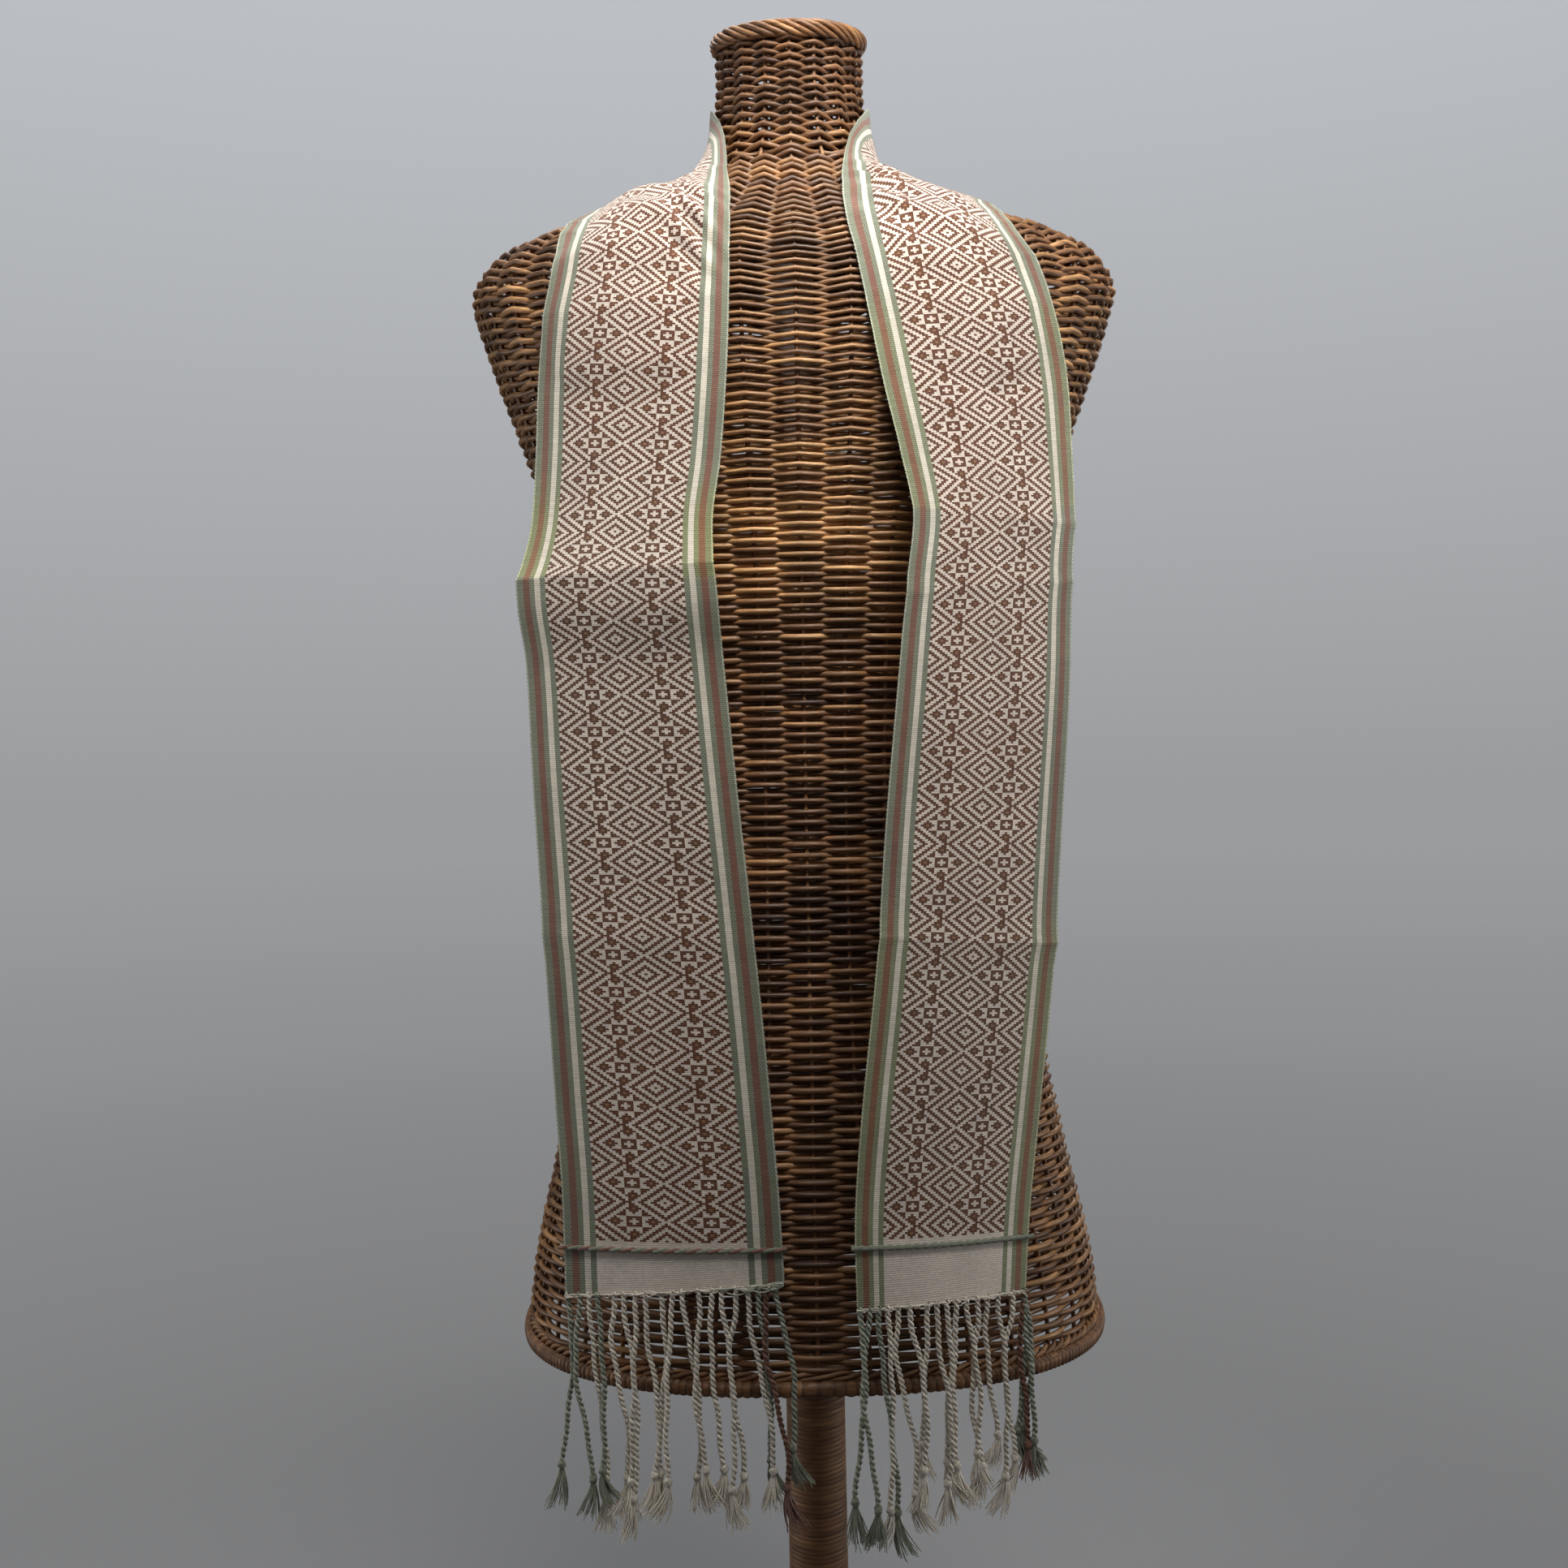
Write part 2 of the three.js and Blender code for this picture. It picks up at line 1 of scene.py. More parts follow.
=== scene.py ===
"""A narrow handwoven scarf with knotted fringes on a wicker display torso, dressed round its frame.

Sizes are millimetres until a mesh is made, and metres in Blender. The torso's chest faces -Y.
"""

import math

import bpy
import numpy as np
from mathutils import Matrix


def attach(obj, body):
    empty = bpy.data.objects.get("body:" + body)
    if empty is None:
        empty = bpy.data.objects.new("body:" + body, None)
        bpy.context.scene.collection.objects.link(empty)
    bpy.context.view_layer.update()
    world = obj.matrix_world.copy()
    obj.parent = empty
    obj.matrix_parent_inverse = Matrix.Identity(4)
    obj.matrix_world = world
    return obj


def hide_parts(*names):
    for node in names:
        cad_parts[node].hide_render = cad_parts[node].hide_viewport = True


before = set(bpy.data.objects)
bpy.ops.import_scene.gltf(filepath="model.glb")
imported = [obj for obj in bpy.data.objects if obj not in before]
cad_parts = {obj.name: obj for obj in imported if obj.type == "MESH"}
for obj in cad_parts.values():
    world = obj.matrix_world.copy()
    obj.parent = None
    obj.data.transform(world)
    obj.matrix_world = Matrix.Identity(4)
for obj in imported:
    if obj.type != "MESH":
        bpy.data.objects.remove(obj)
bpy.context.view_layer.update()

MM = 0.001
UPWARDS = np.array([0.0, 0.0, 1.0])

# Camera: the photograph's view, level, with a slight roll
CAMERA_PLACE = (-10.6, -870.0, 591.0)
CAMERA_ROLL_DEG = 1.161
LENS_MM = 36.0
SENSOR_MM = 36.0

# Torso
RIM_BOTTOM = 300.0
RIM_HEIGHT = 11.0
LEVEL_ROWS_TOP = 760.0
NECK_BASE = 924.0
NECK_TOP = 999.0
NECK_TILT = 0.2
NECK_TILT_FROM = 955.0

# Rods and stakes
ROD_RADIUS = 1.4
ROD_FILL = 0.56
ROD_STEPS = 5
ROD_SIDES = 5
ROD_THICKNESS_JITTER = 0.07
ROD_HEIGHT_JITTER = 0.28
WEAVE_SWING = 2.0
SWING_SHARPNESS = 0.7
SWING_JITTER = 0.25
SKIN_INSET = WEAVE_SWING + ROD_RADIUS
SKIN_STEP = 0.5
STAKE_RADIUS = 1.2
BODY_STAKES = 36
NECK_STAKES = 18
NECK_PITCH = 2.8
SHOULDER_ROWS = 74
SHOULDER_WIDENING = 0.4

# Rim, and the bars under it by direction and reach
RIM_BINDS = 262
BIND_STEPS = 6
BIND_BULGE = 0.55
RIM_TWIST_TURNS = 40
RIM_TWIST_RADIUS = 1.25
CROSS_BARS = ((0.0, 146.0), (np.pi / 2, 108.0))
CROSS_BAR_RADIUS = 4.2
CROSS_BAR_STEPS = 30

# Border and cap of the neck
BORDER_TURNS = 6
BORDER_STEPS = 300
BORDER_ROD_RADIUS = 1.45
BORDER_SWING_OUT = 2.1
BORDER_SWING_UP = 3.4
CAP_SPOKES = 12
CAP_RINGS = np.arange(5.0, 36.0, 2.7)
CAP_HEIGHT = NECK_TOP + 1.0
CAP_SWING = 0.9
CAP_RING_RADIUS = 1.35
CAP_SPOKE_REACH = 37.0
CAP_SPOKE_RADIUS = 1.1

# Stand
POLE_RADIUS = 16.3
POLE_INNER_RADIUS = 11.0
WRAP_PITCH = 2.5
POLE_TOP = NECK_TOP - 12
WOUND_TOP = RIM_BOTTOM + 28
FOOT_RADIUS = 165.0
FOOT_HEIGHT = 20.0

# Scarf
SCARF_WIDTH = 106.0
CLOTH_CLEARANCE = 2.2
HANGING_CROWN = 4.0
PATTERN_CELLS = 47
PATTERN_SHARE = 0.69
ROW_PITCH = 1.0
FLOAT_RELIEF = 0.16
SELVEDGE_SCALLOP = 0.22
PLAIN_END = {"left": 22.8, "right": 30.0}
TWINED_FROM_END = {"left": 19.2, "right": 26.5}
TWINED_PITCH = 10.5
TWINE_RADIUS = 0.95
TWINE_STEPS = 260
END_TILT = 2.8
END_TILT_FADE = 220.0

# Fringe
CORD_HELIX_RADIUS = 0.76
PLY_RADIUS = 0.74
TWIST_PITCH = 5.6
CORD_SWAY = 1.2
CORD_BEND = 3.0
KNOT_RADIUS = 2.0
KNOT_HALF_HEIGHT = 2.5
TASSEL_HAIRS = 34
TASSEL_SPREAD = 6.6
TASSEL_LEAN = 6.5
HAIR_RADIUS = 0.36
FRAY_RADIUS = 0.3

# One turn of the pole's cane: share of its width, how deep it lies there and how much darker it is
WRAP_PROFILE = [
    (0.0, 0.5, 0.22),
    (0.18, 0.1, 0.0),
    (0.5, 0.0, 0.0),
    (0.82, 0.1, 0.0),
]

# Height and the distance between rows of the level weave there
ROW_PITCHES = np.array([
    (311, 2.7),
    (640, 2.7),
    (700, 2.45),
    (760, 2.3),
])

# How far the tone differs from rod to rod, drifts along a rod and changes from stake to stake
TONE_BY_ROD = 0.22
TONE_DRIFT = 0.16
TONE_FLECK = 0.1

# How the cane's tone changes with height, partly its own colour and partly painted shade: the dip
# round 500 stands in for the shade of the scarf's bands over the waist. 1 is a full step from dark to honey
TONE_AND_PAINTED_SHADE_BY_HEIGHT = np.array([
    (300, 0.12),
    (420, 0.04),
    (500, -0.18),
    (640, -0.12),
    (700, 0.20),
    (745, 0.16),
    (850, 0.04),
    (920, -0.08),
    (999, -0.26),
])

# How much darker the front's middle is painted, by height, as painted shadow of the scarf's two bands,
# and how far it spreads as a share of the way round
FRONT_PAINTED_SHADOW = np.array([
    (300, 0.30),
    (520, 0.12),
    (680, 0.0),
])
FRONT_PAINTED_SHADOW_REACH = 0.06

# How far the rods bend upwards over each stake, by height
ROD_BOW = np.array([
    (690, 0.0),
    (760, 0.45),
    (870, 0.6),
    (890, 1.0),
    (999, 0.5),
])

# Torso sections: height, half width, depth in front of the axis, depth behind it, squareness
TORSO_SECTIONS = np.array([
    (300, 154, 127, 113.5, 2.45),
    (324, 153, 126, 113, 2.45),
    (351, 149, 123, 112, 2.45),
    (396, 138.6, 117, 107, 2.45),
    (436, 131, 111, 101, 2.45),
    (500, 122.5, 102, 92, 2.4),
    (560, 118, 96, 85, 2.4),
    (610, 117, 94, 82, 2.35),
    (660, 121, 97, 85, 2.3),
    (710, 129.5, 103, 92, 2.3),
    (759, 145, 109, 99, 2.3),
    (799, 159, 110, 102, 2.3),
    (829, 169.6, 106, 100, 2.3),
    (854, 177, 98, 95, 2.3),
    (864, 175, 92.5, 91, 2.3),
    (873, 169, 87, 86, 2.3),
    (881, 156, 81, 80, 2.3),
    (889, 132.5, 74, 74, 2.3),
    (895.5, 115, 69, 70, 2.3),
    (906, 85, 60, 62, 2.3),
    (913, 70, 55, 57, 2.25),
    (918.5, 58, 50, 52, 2.2),
    (924, 50, 47, 49, 2.15),
    (934, 46, 44, 45, 2.1),
    (948, 43, 42, 42.5, 2.0),
    (972, 41, 40, 40.5, 2.0),
    (1004, 41.6, 40.5, 41, 2.0),
])

# The rim's cross section: distance out from the torso's outline and height above its lower edge
RIM_MIDDLE = 3.4
RIM_PROFILE = [
    (2.4, 1.0),
    (3.0, RIM_MIDDLE),
    (2.4, 5.8),
    (0.2, 6.8),
    (-4.6, 6.6),
    (-6.4, RIM_MIDDLE),
    (-4.6, 0.6),
    (0.2, 0.1),
]

# How much wider than even the stakes stand at the front and the back, by height
FRONT_SPREAD = np.array([
    (300, 0.0),
    (470, 0.0),
    (620, -0.1),
    (720, -0.14),
    (860, -0.1),
    (885, 0.0),
    (903, -0.05),
    (913, -0.32),
    (924, -0.68),
])

# Scarf stations from the left end over the neck to the right end:
# outer selvedge, inner selvedge and, on the shoulders and the nape, the crown halfway between them
# and the fold three quarters of the way across
SCARF_STATIONS = [
    {"outer": (-121, -114, 347), "inner": (-15, -138, 358)},
    {"outer": (-122, -112, 395), "inner": (-17, -137, 402)},
    {"outer": (-125, -108, 440), "inner": (-20, -135, 444)},
    {"outer": (-129, -103, 505), "inner": (-25, -132, 506)},
    {"outer": (-135, -94, 594), "inner": (-33, -128, 592)},
    {"outer": (-138, -89, 654), "inner": (-38, -126, 650)},
    {"outer": (-141, -90, 686), "inner": (-40, -130, 680)},
    {"outer": (-135, -80, 725), "inner": (-42, -122, 718)},
    {"outer": (-133, -76, 759), "inner": (-38, -116, 748)},
    {"outer": (-131, -76, 796), "inner": (-35, -113, 781)},
    {"outer": (-127, -79, 828), "inner": (-33, -109, 815)},
    {"outer": (-121, -79, 857), "crown": (-76, -93, 862), "inner": (-32, -100, 850)},
    {"outer": (-118, -67, 871), "crown": (-74, -83, 884), "inner": (-32, -88, 876)},
    {"outer": (-109, -48, 888), "crown": (-73, -60, 900), "inner": (-32, -71, 895)},
    {"outer": (-100, -14, 905), "crown": (-70, -32, 909), "fold": (-50, -44, 911),
     "inner": (-33.5, -53, 911)},
    {"outer": (-92, 36, 898), "crown": (-64, -2, 917), "fold": (-48, -20, 931), "inner": (-35.5, -33, 938)},
    {"outer": (-70, 64, 886), "crown": (-58, 24, 919), "fold": (-49, 4, 938), "inner": (-41, -11, 960)},
    {"outer": (-40, 80, 879), "crown": (-43, 48, 912), "fold": (-43, 30, 938), "inner": (-42, 12, 966)},
    {"outer": (-20, 90, 866), "crown": (-20, 68, 914), "inner": (-19, 40, 966)},
    {"outer": (0, 93, 863), "crown": (0, 70, 918), "inner": (0, 43, 965)},
    {"outer": (21, 90, 866), "crown": (21, 68, 914), "inner": (19, 40, 966)},
    {"outer": (42, 80, 877), "crown": (44, 48, 912), "fold": (44, 30, 938), "inner": (42, 10, 966)},
    {"outer": (74, 62, 885), "crown": (56, 24, 918), "fold": (46, 4, 937), "inner": (40, -11, 959)},
    {"outer": (96, 32, 893), "crown": (60, -4, 918), "fold": (43, -20, 931), "inner": (32, -33, 939)},
    {"outer": (104, -14, 895), "crown": (66, -36, 905), "fold": (45, -46, 911), "inner": (26, -53, 911)},
    {"outer": (104, -58, 883), "crown": (70, -68, 895), "inner": (25, -66, 896)},
    {"outer": (113, -74, 867), "crown": (72, -87, 877), "inner": (26, -88, 873)},
    {"outer": (123, -79, 851), "crown": (76, -96, 854), "inner": (31, -102, 845)},
    {"outer": (132, -77, 824), "inner": (36, -110, 814)},
    {"outer": (138, -71, 796), "inner": (41, -114, 785)},
    {"outer": (140, -69, 762), "inner": (48, -119, 751)},
    {"outer": (140, -71, 726), "inner": (53, -125, 717)},
    {"outer": (137, -75, 692), "inner": (49, -131, 685)},
    {"outer": (135, -79, 643), "inner": (44, -135, 640)},
    {"outer": (129, -84, 575), "inner": (37, -139, 577)},
    {"outer": (121, -91, 493), "inner": (30, -144, 502)},
    {"outer": (112, -99, 428), "inner": (22, -148, 437)},
    {"outer": (105, -107, 382), "inner": (18, -149, 391)},
    {"outer": (101, -114, 345), "inner": (18, -150, 349)},
]

# Stripes of one border, from the selvedge inwards: share of the border's width and colour
BORDER_STRIPES = [
    (0.05, "selvedge"),
    (0.20, "green"),
    (0.215, "rust"),
    (0.165, "green"),
    (0.19, "cream"),
    (0.18, "green"),
]

# Storage creases: distance from the left or the right end, slant over the width, height, softness
CREASES = [
    ("left", 340.0, 9.0, 3.4, 8.0),
    ("left", 167.0, -2.0, 1.3, 12.0),
    ("left", 512.0, 4.0, 0.9, 14.0),
    ("right", 168.0, 2.0, 2.0, 7.0),
    ("right", 343.0, -4.0, 1.6, 10.0),
    ("right", 372.0, 10.0, 1.5, 8.0),
]

# Gathers where the cloth turns round the neck: end, distance, place across, reach along and across,
# height, wavelength, and turn in degrees
GATHERS = [
    ("left", 532.0, 0.80, 30.0, 0.17, 4.4, 15.0, 38.0),
    ("left", 560.0, 0.50, 30.0, 0.25, 2.8, 25.0, 15.0),
    ("right", 566.0, 0.76, 32.0, 0.20, 4.2, 17.0, -38.0),
    ("right", 534.0, 0.52, 32.0, 0.22, 2.2, 27.0, -20.0),
    ("left", 425.0, 0.30, 55.0, 0.30, 0.8, 60.0, 60.0),
    ("right", 430.0, 0.60, 60.0, 0.30, 0.9, 55.0, -50.0),
]

# Half of the eight-pointed star, from its middle row outwards, then from its middle column outwards:
# # is a brown float, o a lighter one and . the ground
STAR_CHART = [
    "..#.##o##",
    ".##..###",
    "###...#",
    "...###",
    "#..##",
    "##.#",
    "o##",
    "##",
    "#",
]
DIAMOND_RINGS = (0, 3, 4, 7, 8, 11, 12)
REPEAT_ROWS = 18
FIRST_CELL = -22
DIAMOND_CELLS = (-24, 0, 24)
STAR_CELLS = (-10, 14)

# Cords of the fringes: root along the end, reach towards the middle, drop to the knot, tassel, yarn.
# The root is measured from the outer corner on the left and from the inner corner on the right.
LEFT_CORDS = [
    (1.5, -2.5, 82, 22, "green"),
    (8, 3.5, 88, 20, "green"),
    (13, 2, 94, 22, "cream"),
    (17.5, 5, 84, 18, "green"),
    (26, 3, 88, 20, "cream"),
    (31, 2.5, 97, 22, "cream"),
    (37, 1, 90, 20, "cream"),
    (42, 1, 86, 18, "cream"),
    (50, 1, 86, 20, "cream"),
    (55.5, -1, 89, 20, "cream"),
    (60.5, 3.5, 88, 18, "cream"),
    (68.5, 3.5, 84, 20, "cream"),
    (74.7, 2, 85, 18, "cream"),
    (79.5, 3, 94, 21, "cream"),
    (86.5, 2, 89, 18, "cream"),
    (92, 6, 86, 20, "cream"),
    (97, 6.5, 82, 20, "green"),
    (101, 6.5, 94, 22, "rust"),
    (105, 6.5, 77, 20, "green"),
]
RIGHT_CORDS = [
    (1.5, -2, 89, 22, "green"),
    (6, 1, 92, 20, "green"),
    (10.5, 2.5, 95, 22, "green"),
    (15, 3.5, 93, 18, "cream"),
    (20, 5, 87, 20, "cream"),
    (26, 4.5, 76, 20, "cream"),
    (35, 1.5, 66, 18, "cream"),
    (40, 1.5, 84, 20, "cream"),
    (45, 2.5, 76, 18, "cream"),
    (50.5, 1.5, 77, 20, "cream"),
    (56, 1.5, 73, 18, "cream"),
    (62, 2, 79, 20, "cream"),
    (67.5, 2, 66, 18, "cream"),
    (74, 1, 86, 20, "cream"),
    (83, -1, 80, 18, "cream"),
    (90, -1.5, 72, 20, "green"),
    (95.5, -2, 68, 18, "green"),
    (100.5, -2, 74, 18, "rust"),
    (105, -2, 66, 18, "green"),
]

# Pitches of the threads in the cloth's shader and how far they stray, in metres, and its speckles
WEFT_PITCH = 0.001
WARP_PITCH = 0.00052
THREAD_WOBBLE = 0.0006
SPECKLES_PER_METRE = (1250.0, 1000.0, 1.0)

# Scales of the shaders' noise: streaks along the cane, its patches, the wood's pores, and the
# cloth's and the yarn's slubs, fuzz and fibres
ROD_STREAKS = (55.0, 55.0, 900.0)
STAKE_STREAKS = (500.0, 500.0, 60.0)
WRAP_STREAKS = (60.0, 60.0, 700.0)
PATCH_SCALE = 38.0
PORE_SCALES = (30.0, 600.0, 600.0)
SLUB_SCALE = 45.0
FUZZ_SCALE = 2600.0
FIBRE_SCALE = 2200.0

# Yarn and cane colours, linear light
COLOURS = {
    "cream": (0.84, 0.76, 0.64),
    "ground": (0.86, 0.75, 0.65),
    "brown": (0.165, 0.066, 0.033),
    "tan": (0.37, 0.20, 0.11),
    "green": (0.260, 0.280, 0.200),
    "rust": (0.265, 0.130, 0.092),
    "selvedge": (0.52, 0.54, 0.43),
}
CANE_DARK = (0.065, 0.028, 0.014)
CANE_BROWN = (0.225, 0.108, 0.045)
CANE_HONEY = (0.530, 0.290, 0.120)
WOOD_STOPS = [
    (0.0, (0.045, 0.020, 0.010)),
    (1.0, (0.135, 0.060, 0.028)),
]

# The yarn twined with each cord's own, and the frays at the cloth's ends: end, first and last
# distance along it, number of fibres, longest one and yarn
SECOND_PLY = {"cream": "cream", "green": "selvedge", "rust": "brown"}
FRAYS = [
    ("left", 0, 105, 130, 6.0, "cream"),
    ("left", 84, 105, 16, 17.0, "selvedge"),
    ("right", 0, 105, 130, 6.0, "cream"),
]

# Stretches where the dyed warp has yellowed: end, from, to, share
YELLOWED = [
    ("left", 340, 400, 0.5),
    ("right", 0, 190, 0.3),
    ("right", 380, 500, 0.25),
]
YELLOW_TINT = np.array([1.42, 1.40, 0.72])

# How far the cloth's colours differ from cell to cell, and the pattern's from row to row and in warmth
CELL_JITTER = 0.07
ROW_JITTER = 0.10
PATTERN_DRIFT = np.array([0.13, 0.0, -0.10])

# Backdrop tones by how high or low one looks, and the floor's by distance from the foot in metres
SKY_STOPS = [
    (0.0, (0.160, 0.165, 0.170)),
    (0.5, (0.330, 0.335, 0.345)),
    (0.74, (0.520, 0.540, 0.570)),
    (1.0, (0.620, 0.640, 0.670)),
]
FLOOR_STOPS = [
    (0.03, (0.180, 0.182, 0.184)),
    (0.1, (0.225, 0.227, 0.231)),
    (0.25, (0.278, 0.281, 0.287)),
    (0.5, (0.308, 0.312, 0.320)),
    (1.0, (0.326, 0.331, 0.341)),
]
FLOOR_REACH = 12.0
FLOOR_HALF = 30.0

# Share of the backdrop's and the far floor's light that falls on the object
AMBIENT_SHARE = 0.15

# Lights: places in metres, power in watts
LIGHTS = {
    "key": {"place": (0.16, -0.52, 1.43), "target": (0.01, 0, 0.9), "size": (0.6, 0.4), "power": 2.35,
            "colour": (1.0, 0.985, 0.96), "spread": 62},
    "top": {"place": (-0.3, 0.25, 1.95), "target": (0, 0, 0.85), "size": (0.9, 0.9), "power": 8.0,
            "colour": (0.97, 0.98, 1.0)},
    "fill": {"place": (1.5, -1.7, 1.0), "target": (0, 0, 0.6), "size": (1.2, 1.4), "power": 1.5,
             "colour": (0.98, 0.98, 1.0)},
    "left": {"place": (-1.3, 0.0, 0.55), "target": (0, 0, 0.5), "size": (0.5, 0.8), "power": 4.0,
             "colour": (0.97, 0.98, 1.0)},
    "right": {"place": (1.3, 0.0, 0.55), "target": (0, 0, 0.5), "size": (0.5, 0.8), "power": 4.0,
              "colour": (0.97, 0.98, 1.0)},
    "back": {"place": (0.5, 1.6, 1.2), "target": (0, 0, 0.7), "size": (1.2, 1.0), "power": 5.0,
             "colour": (0.97, 0.98, 1.0)},
}


# Small helpers

def blend(a, b, share):
    """Mix of two colours or numbers, for arrays too."""
    share = np.asarray(share)[..., None]
    return np.asarray(a) * (1 - share) + np.asarray(b) * share


def unit(vectors):
    """Vectors shortened or lengthened to 1."""
    length = np.linalg.norm(vectors, axis=-1, keepdims=True)
    return vectors / np.maximum(length, 1e-12)


def xyz(x, y, z):
    """Points from their coordinates."""
    return np.stack(np.broadcast_arrays(x, y, z), axis=-1)


def run_along(line):
    """Distance along a line of points to each of them."""
    return np.concatenate([[0], np.cumsum(np.linalg.norm(np.diff(line, axis=0), axis=1))])


def mesh_object(name, points, faces, material, colours=None):
    """A mesh object from points in millimetres and faces of equal corner counts."""
    faces = np.asarray(faces, dtype=np.int32)
    count, corners = faces.shape
    mesh = bpy.data.meshes.new(name)
    mesh.vertices.add(len(points))
    mesh.vertices.foreach_set("co", (np.asarray(points) * MM).astype(np.float32).ravel())
    mesh.loops.add(count * corners)
    mesh.loops.foreach_set("vertex_index", faces.ravel())
    mesh.polygons.add(count)
    mesh.polygons.foreach_set("loop_start", np.arange(0, count * corners, corners, dtype=np.int32))
    mesh.update(calc_edges=True)
    mesh.polygons.foreach_set("use_smooth", np.full(count, True))
    if colours is not None:
        at_points = len(colours) == len(points)
        layer = mesh.color_attributes.new("tint", "FLOAT_COLOR", "POINT" if at_points else "CORNER")
        rows = colours if at_points else np.repeat(colours, corners, axis=0)
        rgba = np.ones((len(rows), 4), dtype=np.float32)
        rgba[:, :rows.shape[1]] = rows
        layer.data.foreach_set("color", rgba.ravel())
    mesh.materials.append(material)
    piece = bpy.data.objects.new(name, mesh)
    bpy.context.scene.collection.objects.link(piece)
    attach(piece, "root")
    return piece


def joined_object(name, parts, material):
    """A mesh object of several (points, faces, colours)."""
    starts = np.cumsum([0] + [len(part[0]) for part in parts])
    points = np.concatenate([part[0] for part in parts])
    faces = np.concatenate([part[1] + start for part, start in zip(parts, starts)])
    colours = np.concatenate([part[2] for part in parts])
    return mesh_object(name, points, faces, material, colours)


def quads(rows, columns, closed_rows=False, closed_columns=False, flipped=False):
    """Corners of the faces between neighbouring points of a grid of rows by columns."""
    row, column = np.meshgrid(np.arange(rows if closed_rows else rows - 1),
                              np.arange(columns if closed_columns else columns - 1), indexing="ij")
    row_after = (row + 1) % rows
    column_after = (column + 1) % columns
    corners = [
        row * columns + column,
        row_after * columns + column,
        row_after * columns + column_after,
        row * columns + column_after,
    ]
    if flipped:
        corners = [corners[0], corners[3], corners[2], corners[1]]
    return np.stack(corners, axis=-1).reshape(-1, 4)


def tubes(centres, outward, radius, sides, closed):
    """Tubes round many centre lines at once: centres is (tubes, steps, 3)."""
    centres = np.asarray(centres, dtype=float)
    count, steps, _ = centres.shape
    if closed:
        along = np.roll(centres, -1, axis=1) - np.roll(centres, 1, axis=1)
    else:
        along = np.gradient(centres, axis=1)
    along = unit(along)
    outward = np.broadcast_to(outward, centres.shape)
    outward = unit(outward - (outward * along).sum(-1, keepdims=True) * along)
    sideways = np.cross(along, outward)
    angle = np.arange(sides) / sides * 2 * np.pi
    radius = np.broadcast_to(radius, (count, steps))[..., None, None]
    c, s = np.cos(angle)[:, None], np.sin(angle)[:, None]
    ring = c * outward[:, :, None, :] + s * sideways[:, :, None, :]
    points = (centres[:, :, None, :] + radius * ring).reshape(-1, 3)
    one = quads(steps, sides, closed_rows=closed, closed_columns=True)
    first = np.arange(count)[:, None, None] * steps * sides
    return points, (one[None] + first).reshape(-1, 4)


def narrow_ends(count, steps):
    """Shares of a tube's radius that close its open ends nearly to a point."""
    narrow = np.ones((count, steps))
    narrow[:, [0, -1]] = 0.05
    return narrow


def yarns(centres, outward, radius, sides, colour):
    """Open tubes in one colour: points, faces and colours."""
    points, faces = tubes(centres, outward, radius, sides, closed=False)
    return points, faces, np.tile(np.asarray(colour), (len(points), 1))


def way_out(angle):
    """Level directions away from the axis."""
    return xyz(np.cos(angle), np.sin(angle), 0.0)


# Torso surface

def section_columns(z):
    """Half width, depth in front, depth behind and squareness at each height."""
    return [np.interp(z, TORSO_SECTIONS[:, 0], TORSO_SECTIONS[:, i]) for i in range(1, 5)]


def outline(z, angle, grow):
    """Points of the torso's outline at each height for angles from the +X side."""
    half, front, back, power = section_columns(z)
    c, s = np.cos(angle), np.sin(angle)
    depth = np.where(s < 0, front, back)
    x = (half + grow) * np.sign(c) * np.abs(c) ** (2 / power)
    y = (depth + grow) * np.sign(s) * np.abs(s) ** (2 / power)
    return x, y


def neck_lift(y, z):
    """How much the tilt of the neck's top raises a point."""
    share = np.clip((z - NECK_TILT_FROM) / (NECK_TOP - NECK_TILT_FROM), 0, 1)
    return share * NECK_TILT * y


